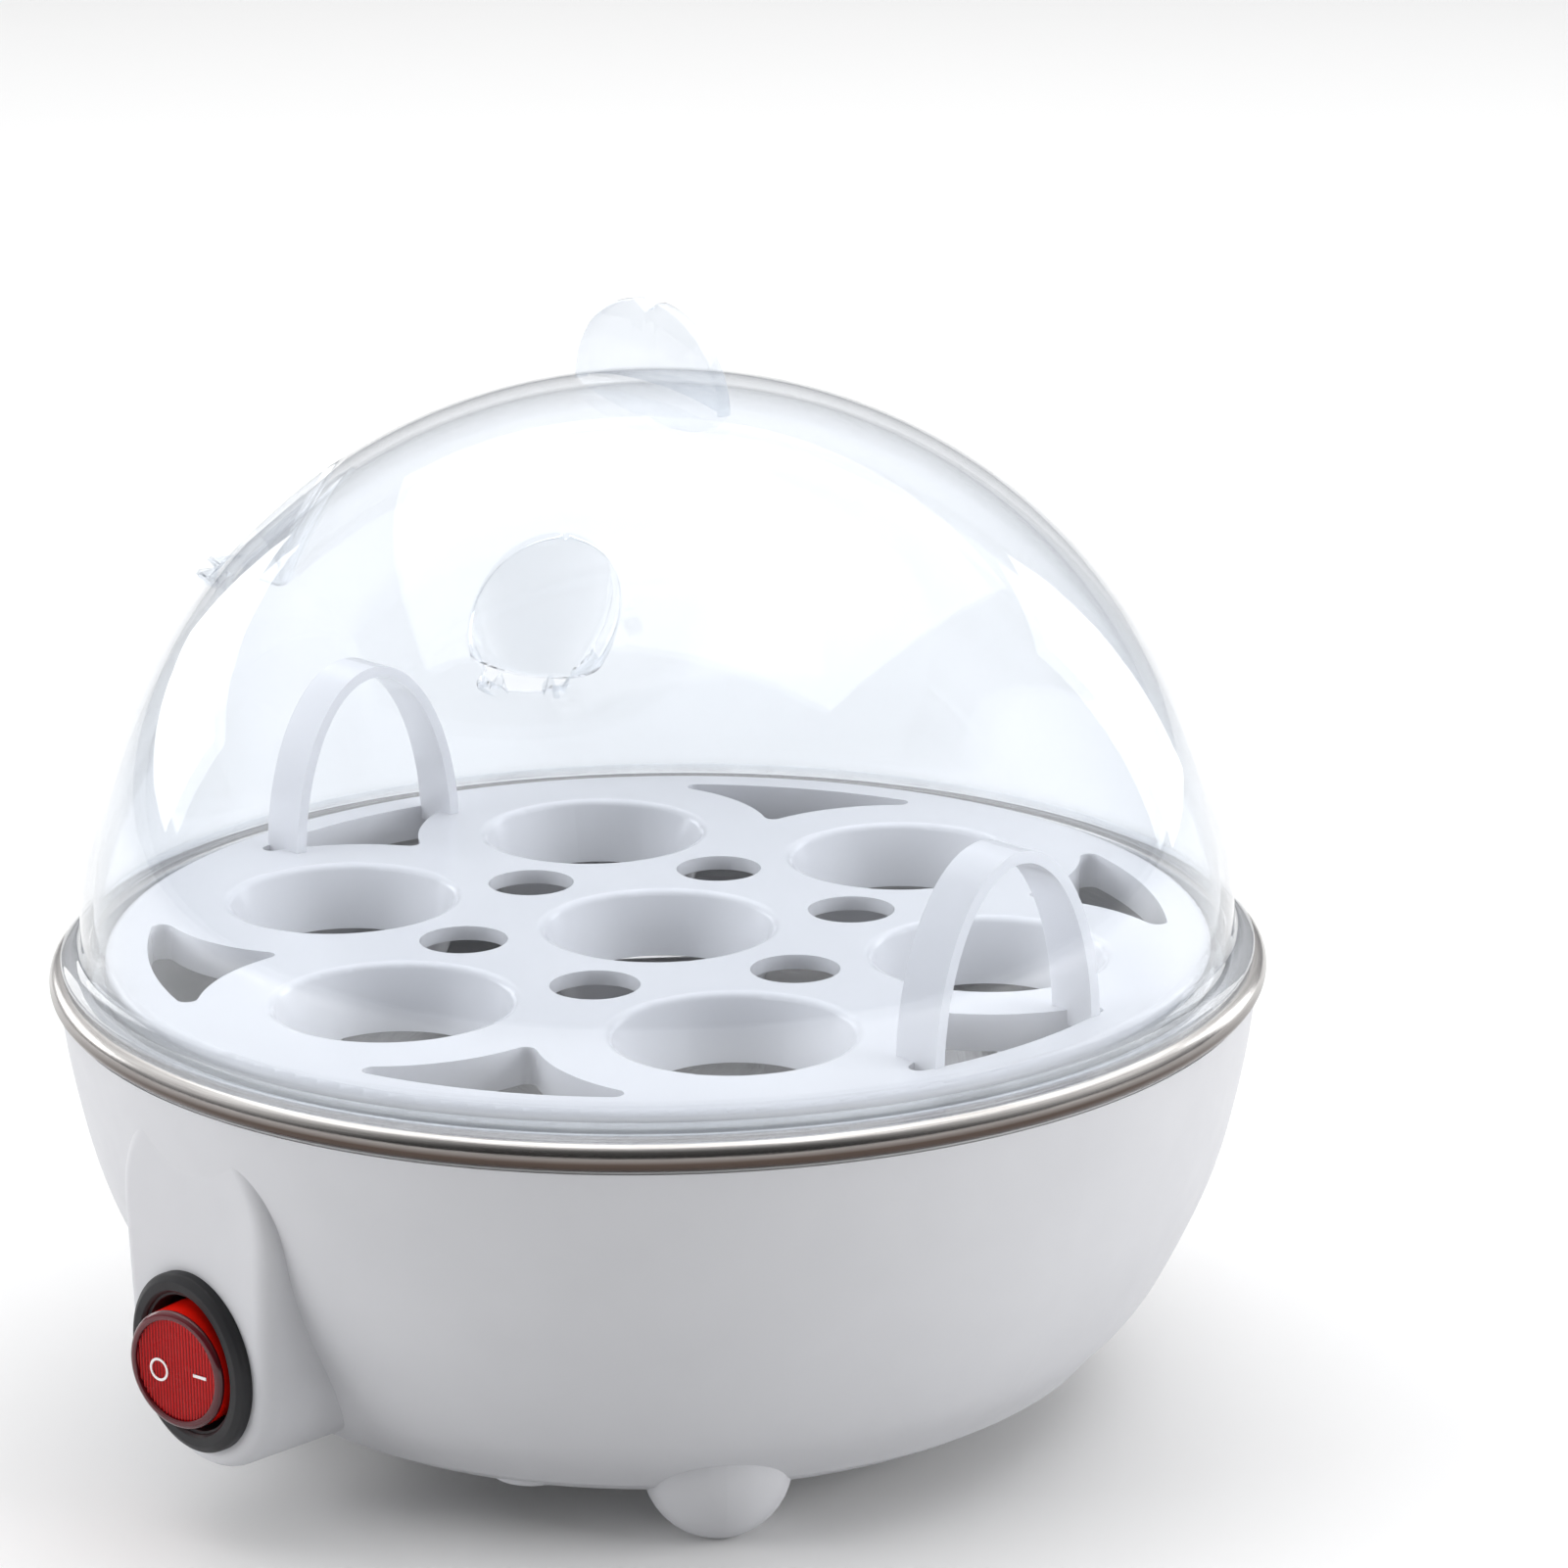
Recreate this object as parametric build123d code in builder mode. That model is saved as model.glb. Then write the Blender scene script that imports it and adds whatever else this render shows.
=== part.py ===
"""Seven-egg electric steam cooker: housing with switch, steel pan, egg tray and domed lid.

Millimetres. The origin is on the cooker's axis at table level, +Z is up, and the switch
faces -Y. The cord inlet is opposite the switch, at +Y.
"""
from build123d import *
from math import asin, cos, degrees, radians, sin
import os

os.makedirs("parts", exist_ok=True)

# ---- driving dimensions -------------------------------------------------------------
GAP = 0.3                      # air between pieces that lift or swing apart

# housing bowl
WALL = 2.4                     # moulded wall
BOWL_TOP = 58.2                # top edge that carries the pan
BOWL_BASE = 7.0                # flat underside, held off the table by the feet
BOWL_PROFILE = ((61.5, BOWL_BASE + 1.6), (67.4, 15.4), (72.2, 23.9), (75.9, 32.3),
                (78.4, 40.8), (80.1, 49.3), (81.3, BOWL_TOP))
COVER_R = 46.0                 # screwed bottom cover
COVER_T = 2.0
FOOT_R = 9.75                  # rounded nub
FOOT_PCR = 56.0                # feet's distance from the axis
FOOT_Z = 9.2                   # nub's centre, so that each foot ends in a small flat
FOOT_ANGLES = (-35, -145, 90)

# switch and cord bosses on the bowl
BOSS_FACE = 80.0               # distance of each flat face from the axis
BOSS_R = 14.6                  # rounded lower end of a boss
BOSS_TOP_R = 18.6              # broad upper end, which runs into the bowl
BOSS_TOP_Z = 42.5
SWITCH_Z = 23.4
CUTOUT_R = 10.0                # standard round panel cut-out for the switch
BEZEL_R = 11.9
BEZEL_T = 1.9
SWITCH_DEPTH = 14.0            # switch barrel behind the panel
ROCKER_R = 7.9
ROCKER_TILT = 11.0             # each way from level; the rocker rests tilted to on
ROCKER_FACE = 4.9              # from pivot to the flat face
PIVOT_Y = -79.3
INLET_Z = 22.0
CORD_R = 3.2                   # cord bore through the gland
GLAND_END = 85.6               # as far behind the axis as the rocker reaches in front
CLAMP_POST_X, CLAMP_POST_Y, CLAMP_POST_TOP = 7.5, 69.0, 24.4

# pan
SHEET = 0.7                    # stainless steel
RIM_R = 82.5
RIM_BOTTOM = 58.5
RIM_TOP = 62.3
PAN_FLOOR = 44.0
PAN_FLOOR_R = 66.0
SEAT_R = 72.6                  # inner edge of the shoulder that carries the tray
SEAT_Z = 58.9
PAN_WALL_R = 77.5

# egg tray
TRAY_TOP = 63.8
TRAY_T = 2.0
TRAY_R = 75.0
EGG_PCR = 46.3                 # six holes round the middle one
EGG_R = 15.9                   # collar's mouth
EGG_BOTTOM_R = 12.4
COLLAR_DEPTH = 8.5
COLLAR_WALL = 1.6
VENT_PCR = 27.0
VENT_R = 6.0
WINDOW_OUT = 69.3
WINDOW_WEB = 9.7               # between an egg hole and the windows beside it
HANDLE_X = 64.6
HANDLE_HALF = 15.0             # half span of the arch, to the strip's outer face
HANDLE_H = 25.0
HANDLE_W = 7.0
HANDLE_T = 1.6

# lid
LID_TURN = -7.5                # how far the lid is turned from the switch direction
LID_WALL = 1.8
DOME_R = 78.1
DOME_Z = 66.9                  # level where the wall starts to lean in
DOME_H = 72.45
DOME_POWERS = (2 / 2.097, 2 / 1.809)
FLANGE_R = 80.9
FLANGE_T = 1.7
SPIGOT_R = 77.0
COMB_HALF, COMB_H, COMB_T = 17.0, 13.0, 2.0
COMB_BASE = 137.0
HOOD_AZ = 40.0                 # steam hoods either side of the lid's front
HOOD_Z = 121.0
HOOD_R = 9.6

# heater group under the pan
UNDER_PAN = PAN_FLOOR - SHEET
SPREADER_R, SPREADER_T = 48.0, 1.5
HEATER_R, HEATER_TUBE = 33.0, 3.2
HEATER_Z = UNDER_PAN - SPREADER_T - HEATER_TUBE
LEG_X, LEG_END = 12.0, -50.0   # the heater's straight ends, which point to -Y
CLAMP_T = 1.2
CLAMP_TOP = HEATER_Z - HEATER_TUBE
STUD_PCR = 21.0
STANDOFF_PCR = 54.5
STANDOFF_H = 6.0
STANDOFF_ANGLES = (60, 180, 300)
COVER_SCREW_PCR = 42.5
COVER_SCREW_ANGLES = (0, 120, 240)


def dome_point(angle, inset=0.0):
    """Point (radius, height) of the dome's profile, angle 0 at its foot and 90 at its top."""
    c, s = cos(radians(angle)), sin(radians(angle))
    return ((DOME_R - inset) * max(c, 0) ** DOME_POWERS[0],
            DOME_Z + (DOME_H - inset) * s ** DOME_POWERS[1])


def around(radius, angles, height):
    """Locations at a radius from the axis, each turned to face outwards."""
    return [Location((radius * cos(radians(a)), radius * sin(radians(a)), height), (0, 0, a))
            for a in angles]


def save(builder, name):
    builder.part.label = name
    export_step(builder.part, f"parts/{name}.step")


# ---- housing bowl -------------------------------------------------------------------
def boss_outline(inset):
    """Front-view outline of a boss: two circles joined by tangents."""
    with BuildSketch(Plane.XZ, mode=Mode.PRIVATE) as outline:
        with Locations((0, SWITCH_Z)):
            Circle(BOSS_R - inset)
        with Locations((0, BOSS_TOP_Z - inset)):
            Circle(BOSS_TOP_R - inset - 3)
        make_hull()
    return outline.sketch


with BuildPart() as housing:
    with BuildSketch(Plane.XZ):
        with BuildLine():
            wall = Spline(*BOWL_PROFILE, tangents=((0.6, 0.8), (0.12, 1)))
            Polyline(wall @ 1, (0, BOWL_TOP), (0, BOWL_BASE), (59.0, BOWL_BASE))
            Line((59.0, BOWL_BASE), wall @ 0)
        make_face()
    revolve(axis=Axis.Z)
    for side in (-1, 1):
        add(extrude(boss_outline(0), amount=-side * (BOSS_FACE - 40), mode=Mode.PRIVATE)
            .moved(Location((0, side * 40, 0))))
    face_edges = [e for f in faces().filter_by(Axis.Y) for e in f.outer_wire().edges()
                  if abs(abs(f.center().Y) - BOSS_FACE) < 0.01 and e.center().Z < BOWL_TOP - 12]
    fillet(face_edges, 2.5)
    with Locations(*around(FOOT_PCR, FOOT_ANGLES, FOOT_Z)):
        Sphere(FOOT_R)
    # flat ends on the feet, level with the table
    with BuildSketch(Plane.XY):
        Circle(90)
    extrude(amount=-5, mode=Mode.SUBTRACT)
    # hollow inside, following the outer wall
    with BuildSketch(Plane.XZ):
        with BuildLine():
            inner = Spline(*[(r - WALL, z) for r, z in BOWL_PROFILE[1:]],
                           tangents=((0.5, 0.85), (0.12, 1)))
            Polyline(inner @ 1, (0, BOWL_TOP), (0, BOWL_BASE + 4), (56.0, BOWL_BASE + 4))
            Line((56.0, BOWL_BASE + 4), inner @ 0)
        make_face()
    revolve(axis=Axis.Z, mode=Mode.SUBTRACT)
    for side in (-1, 1):
        add(extrude(boss_outline(WALL), amount=-side * (BOSS_FACE - WALL - 45),
                    mode=Mode.PRIVATE).moved(Location((0, side * 45, 0))), mode=Mode.SUBTRACT)
    # opening for the bottom cover, with the ledge that the cover closes against
    with BuildSketch(Plane.XY.offset(BOWL_BASE)):
        Circle(COVER_R + 0.3)
    extrude(amount=COVER_T, mode=Mode.SUBTRACT)
    with BuildSketch(Plane.XY.offset(BOWL_BASE)):
        Circle(COVER_R - 7)
    extrude(amount=6, mode=Mode.SUBTRACT)
    # posts for the cover screws and for the screws that hold the pan down
    with BuildSketch(Plane.XY.offset(BOWL_BASE + COVER_T)):
        with Locations(*around(COVER_SCREW_PCR, COVER_SCREW_ANGLES, 0)):
            Circle(3.8)
    extrude(amount=12)
    with BuildSketch(Plane.XY.offset(BOWL_BASE)):
        with Locations(*around(STANDOFF_PCR, STANDOFF_ANGLES, 0)):
            Circle(5.6)
    extrude(amount=UNDER_PAN - STANDOFF_H - BOWL_BASE)
    # posts either side of the cord for its clamp
    with BuildSketch(Plane.XY.offset(CLAMP_POST_TOP)):
        with Locations((-CLAMP_POST_X, CLAMP_POST_Y), (CLAMP_POST_X, CLAMP_POST_Y)):
            Circle(2.9)
    extrude(amount=-10.9)
    with Locations(*[Location((x, CLAMP_POST_Y, CLAMP_POST_TOP))
                     for x in (-CLAMP_POST_X, CLAMP_POST_X)]):
        Cylinder(1.25, 9, align=(Align.CENTER, Align.CENTER, Align.MAX), mode=Mode.SUBTRACT)
    with Locations(*around(COVER_SCREW_PCR, COVER_SCREW_ANGLES, BOWL_BASE + COVER_T)):
        Cylinder(1.3, 20, mode=Mode.SUBTRACT)
    with Locations(*around(STANDOFF_PCR, STANDOFF_ANGLES, BOWL_BASE)):
        Cylinder(2.3, 40, align=(Align.CENTER, Align.CENTER, Align.MIN), mode=Mode.SUBTRACT)
        Cylinder(4.4, 20, align=(Align.CENTER, Align.CENTER, Align.MIN), mode=Mode.SUBTRACT)
    # panel cut-outs for the switch and the cord gland
    with BuildSketch(Plane.XZ.offset(BOSS_FACE + 1)):
        with Locations((0, SWITCH_Z)):
            Circle(CUTOUT_R)
    extrude(amount=-6, mode=Mode.SUBTRACT)
    with BuildSketch(Plane.XZ.offset(-BOSS_FACE - 1)):
        with Locations((0, INLET_Z)):
            Circle(6.0)
    extrude(amount=6, mode=Mode.SUBTRACT)
save(housing, "housing")


# ---- steel pan and its seal ---------------------------------------------------------
with BuildPart() as heating_pan:
    with BuildSketch(Plane.XZ):
        with BuildLine():
            # upper surface from the middle of the floor out to the rolled rim
            FilletPolyline((0, PAN_FLOOR), (PAN_FLOOR_R, PAN_FLOOR), (SEAT_R, SEAT_Z),
                           (PAN_WALL_R - 0.2, SEAT_Z), (PAN_WALL_R, RIM_TOP), (RIM_R, RIM_TOP),
                           (RIM_R, RIM_BOTTOM), (79.9, RIM_BOTTOM),
                           radius=(7, 1.5, 0.9, 0.9, 1.5, 1.5))
            offset(amount=SHEET, side=Side.RIGHT)
        make_face()
    revolve(axis=Axis.Z)
save(heating_pan, "heating_pan")

with BuildPart() as rim_gasket:
    with BuildSketch(Plane.XZ):
        with BuildLine():
            Polyline((78.9, BOWL_TOP), (81.0, BOWL_TOP), (81.0, RIM_BOTTOM), (78.9, RIM_BOTTOM),
                     close=True)
        make_face()
    revolve(axis=Axis.Z)
save(rim_gasket, "rim_gasket")


# ---- egg tray -----------------------------------------------------------------------
def egg_places(height):
    """The middle egg hole and the six round it."""
    return [Location((0, 0, height))] + around(EGG_PCR, range(30, 390, 60), height)


with BuildPart() as egg_tray:
    with BuildSketch(Plane.XY.offset(TRAY_TOP)):
        Circle(TRAY_R)
    extrude(amount=-(TRAY_TOP - SEAT_Z - GAP))
    with BuildSketch(Plane.XY.offset(TRAY_TOP - TRAY_T)):
        Circle(TRAY_R - COLLAR_WALL)
    extrude(amount=-10, mode=Mode.SUBTRACT)
    # steam windows between neighbouring egg holes, each with a short skirt
    with BuildSketch(Plane.XY.offset(TRAY_TOP)) as windows:
        Circle(WINDOW_OUT)
        Circle(EGG_PCR, mode=Mode.SUBTRACT)
        with Locations(*around(EGG_PCR, range(30, 390, 60), 0)):
            Circle(EGG_R + WINDOW_WEB, mode=Mode.SUBTRACT)
        fillet(windows.vertices(), 1.4)
    extrude(offset(windows.sketch, COLLAR_WALL - 0.2, mode=Mode.PRIVATE), amount=-5.0)
    extrude(windows.sketch, amount=-6.0, mode=Mode.SUBTRACT)
    # tapered collars that hold the eggs
    with Locations(*egg_places(TRAY_TOP)):
        Cone(EGG_BOTTOM_R + COLLAR_WALL, EGG_R + COLLAR_WALL, COLLAR_DEPTH,
             align=(Align.CENTER, Align.CENTER, Align.MAX))
    with Locations(*egg_places(TRAY_TOP)):
        Cone(EGG_BOTTOM_R, EGG_R, COLLAR_DEPTH, align=(Align.CENTER, Align.CENTER, Align.MAX),
             mode=Mode.SUBTRACT)
    with BuildSketch(Plane.XY.offset(TRAY_TOP)):
        with Locations(*around(VENT_PCR, range(0, 360, 60), 0)):
            Circle(VENT_R)
    extrude(amount=-TRAY_T, mode=Mode.SUBTRACT)
    top_edges = [e for e in edges().filter_by(GeomType.CIRCLE)
                 if abs(e.center().Z - TRAY_TOP) < 0.01 and e.radius > EGG_R - 0.1
                 and (e.radius < EGG_R + 0.1 or e.radius > TRAY_R - 0.1)]
    fillet(top_edges, 1.3)
    # two arched handles over opposite windows
    for side in (-1, 1):
        with BuildSketch(Plane.YZ.offset(side * HANDLE_X - HANDLE_W / 2)):
            with Locations((0, TRAY_TOP - TRAY_T)):
                Ellipse(HANDLE_HALF, HANDLE_H + TRAY_T)
                Ellipse(HANDLE_HALF - HANDLE_T, HANDLE_H + TRAY_T - HANDLE_T,
                        mode=Mode.SUBTRACT)
                Rectangle(80, 60, align=(Align.CENTER, Align.MAX), mode=Mode.SUBTRACT)
        extrude(amount=HANDLE_W)
save(egg_tray, "egg_tray")


# ---- lid ----------------------------------------------------------------------------
def hood_plane(turn, lift, down):
    """Plane lying on the dome at a hood, lifted off it and shifted down its slope."""
    angle = degrees(asin(((HOOD_Z - DOME_Z) / DOME_H) ** (1 / DOME_POWERS[1])))
    (r0, z0), (r1, z1) = dome_point(angle - 0.5), dome_point(angle + 0.5)
    slope = Vector(r0 - r1, 0, z0 - z1).normalized()
    out = Vector(-slope.Z, 0, slope.X)
    r, z = dome_point(angle)
    spot = Vector(r, 0, z) + out * lift + slope * down
    flat = Plane(origin=spot, x_dir=slope, z_dir=out)
    return Plane(Location((0, 0, 0), (0, 0, LID_TURN - 90 + turn)) * flat.location)


with BuildPart() as lid:
    with BuildSketch(Plane.XZ):
        with BuildLine():
            outer = Spline(*[dome_point(a) for a in (0, 12, 26, 40, 54, 66, 77, 90)],
                           tangents=((0, 1), (-1, 0)))
            Polyline(outer @ 1, (0, RIM_TOP + GAP), (FLANGE_R, RIM_TOP + GAP),
                     (FLANGE_R, RIM_TOP + GAP + 0.7), (DOME_R + 1.2, RIM_TOP + GAP + FLANGE_T),
                     (DOME_R, RIM_TOP + GAP + FLANGE_T), outer @ 0)
        make_face()
        with Locations((0, RIM_TOP + GAP)):
            Rectangle(SPIGOT_R, 2.6, align=(Align.MIN, Align.MAX))
    revolve(axis=Axis.Z)
    # crest on top: an oval plate with a small notch
    with BuildSketch(Plane.XZ.rotated((0, 0, LID_TURN))):
        with Locations((0, COMB_BASE)):
            Ellipse(COMB_HALF, COMB_H)
        with BuildLine():
            Polyline((-3.4, COMB_BASE + COMB_H + 0.5), (0, COMB_BASE + COMB_H - 1.1),
                     (3.4, COMB_BASE + COMB_H + 0.5), close=True)
        make_face(mode=Mode.SUBTRACT)
        with Locations((0, COMB_BASE - 5)):
            Rectangle(60, 30, align=(Align.CENTER, Align.MAX), mode=Mode.SUBTRACT)
    extrude(amount=COMB_T / 2, both=True)
    # steam hoods: round at the top, drawn out to a lip at the bottom
    for turn in (-HOOD_AZ, HOOD_AZ):
        with BuildSketch(hood_plane(turn, -1.2, 0)):
            Circle(HOOD_R)
        with BuildSketch(hood_plane(turn, 4.2, 7.6)):
            Circle(2.4)
        loft()
    with BuildSketch(Plane.XZ):
        with BuildLine():
            inner = Spline(*[dome_point(a, LID_WALL) for a in (0, 12, 26, 40, 54, 66, 77, 90)],
                           tangents=((0, 1), (-1, 0)))
            Polyline(inner @ 1, (0, RIM_TOP - 5), (SPIGOT_R - 1.5, RIM_TOP - 5), inner @ 0)
        make_face()
    revolve(axis=Axis.Z, mode=Mode.SUBTRACT)
    for turn in (-HOOD_AZ, HOOD_AZ):
        with BuildSketch(hood_plane(turn, -4.5, 0)):
            Circle(HOOD_R - 1.2)
        with BuildSketch(hood_plane(turn, 2.9, 6.6)):
            Circle(1.2)
        loft(mode=Mode.SUBTRACT)
        with BuildSketch(hood_plane(turn, -4.5, 5.6)):
            Rectangle(5.6, 12.2, align=(Align.MIN, Align.CENTER))
        extrude(amount=6.6, mode=Mode.SUBTRACT)
save(lid, "lid")


# ---- bottom cover and its screws ----------------------------------------------------
DOWN = (Align.CENTER, Align.CENTER, Align.MAX)
UP = (Align.CENTER, Align.CENTER, Align.MIN)


def screw(head_r, head_h, shank_r, length):
    """Crossed pan-head screw that points up, with its bearing face at the origin."""
    with BuildPart() as piece:
        Cylinder(head_r, head_h, align=DOWN)
        fillet(edges().group_by(Axis.Z)[0], head_h * 0.4)
        Cylinder(shank_r, length, align=UP)
        with BuildSketch(Plane.XY.offset(-head_h)):
            Rectangle(head_r * 1.1, 0.6)
            Rectangle(0.6, head_r * 1.1)
        extrude(amount=head_h * 0.5, mode=Mode.SUBTRACT)
    return piece.part


with BuildPart() as bottom_cover:
    with BuildSketch(Plane.XY.offset(BOWL_BASE)):
        Circle(COVER_R)
        with PolarLocations(24, 12):
            SlotOverall(16, 2.6, mode=Mode.SUBTRACT)
        with Locations(*around(COVER_SCREW_PCR, COVER_SCREW_ANGLES, 0)):
            Circle(1.6, mode=Mode.SUBTRACT)
    extrude(amount=COVER_T)
save(bottom_cover, "bottom_cover")

with BuildPart() as cover_screws:
    with Locations(*around(COVER_SCREW_PCR, COVER_SCREW_ANGLES, BOWL_BASE)):
        add(screw(2.7, 1.5, 1.25, 10))
save(cover_screws, "cover_screws")


# ---- what holds the pan to the housing ----------------------------------------------
with BuildPart() as pan_standoffs:
    with BuildSketch(Plane.XY.offset(UNDER_PAN - STANDOFF_H)):
        with Locations(*around(STANDOFF_PCR, STANDOFF_ANGLES, 0)):
            RegularPolygon(4.5, 6, major_radius=False)
    extrude(amount=STANDOFF_H)
    with Locations(*around(STANDOFF_PCR, STANDOFF_ANGLES, UNDER_PAN - STANDOFF_H)):
        Cylinder(1.5, STANDOFF_H - 1, align=UP, mode=Mode.SUBTRACT)
save(pan_standoffs, "pan_standoffs")

with BuildPart() as pan_screws:
    with Locations(*around(STANDOFF_PCR, STANDOFF_ANGLES, BOWL_BASE + 20)):
        add(screw(3.6, 2.4, 1.45, 14.5))
save(pan_screws, "pan_screws")


# ---- heater -------------------------------------------------------------------------
BRACKET_X = 10.6               # thermostat bracket's screws
THERMOSTAT_R = 8.0
SPREADER_Z = UNDER_PAN - SPREADER_T

with BuildPart() as heat_spreader:
    with BuildSketch(Plane.XY.offset(SPREADER_Z)):
        Circle(SPREADER_R)
        with Locations((-BRACKET_X, 0), (BRACKET_X, 0)):
            Circle(1.3, mode=Mode.SUBTRACT)
    extrude(amount=SPREADER_T)
save(heat_spreader, "heat_spreader")

BEND_R = 9.0
BEND_X = LEG_X + BEND_R        # centre of the bend that turns the ring into a leg
BEND_Y = -((HEATER_R + BEND_R) ** 2 - BEND_X ** 2) ** 0.5
BEND_ANGLE = degrees(asin(BEND_X / (HEATER_R + BEND_R)))
with BuildPart() as heater_tube:
    with BuildLine(Plane.XY.offset(HEATER_Z)) as tube_path:
        Line((LEG_X, LEG_END), (LEG_X, BEND_Y))
        CenterArc((BEND_X, BEND_Y), BEND_R, 180, BEND_ANGLE - 90)
        CenterArc((0, 0), HEATER_R, BEND_ANGLE - 90, 360 - 2 * BEND_ANGLE)
        CenterArc((-BEND_X, BEND_Y), BEND_R, 90 - BEND_ANGLE, BEND_ANGLE - 90)
        Line((-LEG_X, BEND_Y), (-LEG_X, LEG_END))
    with BuildSketch(Plane(origin=(LEG_X, LEG_END, HEATER_Z), z_dir=(0, 1, 0))):
        Circle(HEATER_TUBE)
    sweep()
save(heater_tube, "heater_tube")

LEG_ENDS = Plane.XZ.offset(-LEG_END)
with BuildPart() as heater_seals:
    with BuildSketch(LEG_ENDS):
        with Locations((-LEG_X, HEATER_Z), (LEG_X, HEATER_Z)):
            Circle(2.7)
            Circle(1.05, mode=Mode.SUBTRACT)
    extrude(amount=2.6)
save(heater_seals, "heater_seals")

with BuildPart() as heater_pins:
    with BuildSketch(LEG_ENDS):
        with Locations((-LEG_X, HEATER_Z), (LEG_X, HEATER_Z)):
            Circle(1.0)
    extrude(amount=8)
save(heater_pins, "heater_pins")

STUDS = around(STUD_PCR, (90, 210, 330), CLAMP_TOP - CLAMP_T)
with BuildPart() as heater_clamp:
    with BuildSketch(Plane.XY.offset(CLAMP_TOP)):
        Circle(HEATER_R + 5)
        Circle(12.5, mode=Mode.SUBTRACT)
        with Locations(*around(STUD_PCR, (90, 210, 330), 0)):
            Circle(1.7, mode=Mode.SUBTRACT)
    extrude(amount=-CLAMP_T)
save(heater_clamp, "heater_clamp")

with BuildPart() as clamp_studs:
    with Locations(*STUDS):
        Cylinder(1.5, SPREADER_Z - CLAMP_TOP + CLAMP_T, align=UP)
        Cylinder(1.5, 2.7, align=DOWN)
save(clamp_studs, "clamp_studs")

with BuildPart() as clamp_nuts:
    with BuildSketch(Plane.XY.offset(CLAMP_TOP - CLAMP_T)):
        with Locations(*around(STUD_PCR, (90, 210, 330), 0)):
            RegularPolygon(2.75, 6, major_radius=False)
            Circle(1.55, mode=Mode.SUBTRACT)
    extrude(amount=-2.2)
save(clamp_nuts, "clamp_nuts")


# ---- thermostat and thermal fuse ----------------------------------------------------
with BuildPart() as thermostat:
    with Locations((0, 0, SPREADER_Z)):
        Cylinder(THERMOSTAT_R, 2, align=DOWN)
        Cylinder(7.3, 8, align=DOWN)
save(thermostat, "thermostat")

with BuildPart() as thermostat_terminals:
    with BuildSketch(Plane.XY.offset(SPREADER_Z - 8)):
        with Locations((-4, 0), (4, 0)):
            Rectangle(0.8, 6.3)
    extrude(amount=-7)
save(thermostat_terminals, "thermostat_terminals")

with BuildPart() as thermostat_bracket:
    with BuildSketch(Plane.XY.offset(SPREADER_Z - 2)):
        Circle(9.6)
        SlotOverall(2 * BRACKET_X + 5, 5)
        Circle(7.4, mode=Mode.SUBTRACT)
        with Locations((-BRACKET_X, 0), (BRACKET_X, 0)):
            Circle(1.35, mode=Mode.SUBTRACT)
    extrude(amount=-1)
save(thermostat_bracket, "thermostat_bracket")

with BuildPart() as bracket_screws:
    with Locations((-BRACKET_X, 0, SPREADER_Z - 3), (BRACKET_X, 0, SPREADER_Z - 3)):
        add(screw(2.2, 1.4, 1.25, 4.3))
save(bracket_screws, "bracket_screws")

FUSE = Plane(origin=(0, -44, 31), x_dir=(0, 1, 0), z_dir=(1, 0, 0))
FUSE_LEAD = 14.0
with BuildPart() as thermal_fuse:
    with BuildSketch(FUSE):
        Circle(1.6)
    extrude(amount=5, both=True)
    with BuildSketch(FUSE):
        Circle(0.5)
    extrude(amount=FUSE_LEAD, both=True)
save(thermal_fuse, "thermal_fuse")

with BuildPart() as fuse_sleeve:
    with BuildSketch(FUSE):
        Circle(2.3)
        Circle(1.7, mode=Mode.SUBTRACT)
    extrude(amount=11, both=True)
save(fuse_sleeve, "fuse_sleeve")


# ---- switch -------------------------------------------------------------------------
MOUTH_R = 8.95                 # opening round the rocker
CAVITY_BACK = -70.0            # floor of the switch cavity
TAB_X = 5.2                    # outer terminals
BACK = Plane.XZ.offset(-CAVITY_BACK)


def rocker_frame(turn):
    """Plane through the rocker's pivot, facing outwards, turned about the pivot."""
    a = radians(turn)
    return Plane(origin=(0, PIVOT_Y, SWITCH_Z), x_dir=(cos(a), sin(a), 0),
                 z_dir=(sin(a), -cos(a), 0))


def disc(plane, bottom, top, radius, mode=Mode.ADD):
    """Round disc between two levels of a plane."""
    with Locations(plane.offset(bottom)):
        Cylinder(radius, top - bottom, align=UP, mode=mode)


PANEL = Plane(origin=(0, -BOSS_FACE, SWITCH_Z), x_dir=(1, 0, 0), z_dir=(0, -1, 0))
with BuildPart() as switch_body:
    disc(PANEL, 0, BEZEL_T, BEZEL_R)
    fillet(edges().group_by(Axis.Y)[0], 0.9)
    disc(PANEL, -SWITCH_DEPTH, 0.1, CUTOUT_R - 0.2)
    disc(PANEL, -BOSS_FACE - CAVITY_BACK, 5, MOUTH_R, Mode.SUBTRACT)
    with Locations((0, PIVOT_Y, SWITCH_Z)):
        Cylinder(1.05, 30, mode=Mode.SUBTRACT)
    with BuildSketch(BACK):
        with Locations((-TAB_X, SWITCH_Z), (0, SWITCH_Z), (TAB_X, SWITCH_Z)):
            Rectangle(1.0, 5.0)
    extrude(amount=-8, mode=Mode.SUBTRACT)
save(switch_body, "switch_body")

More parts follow.
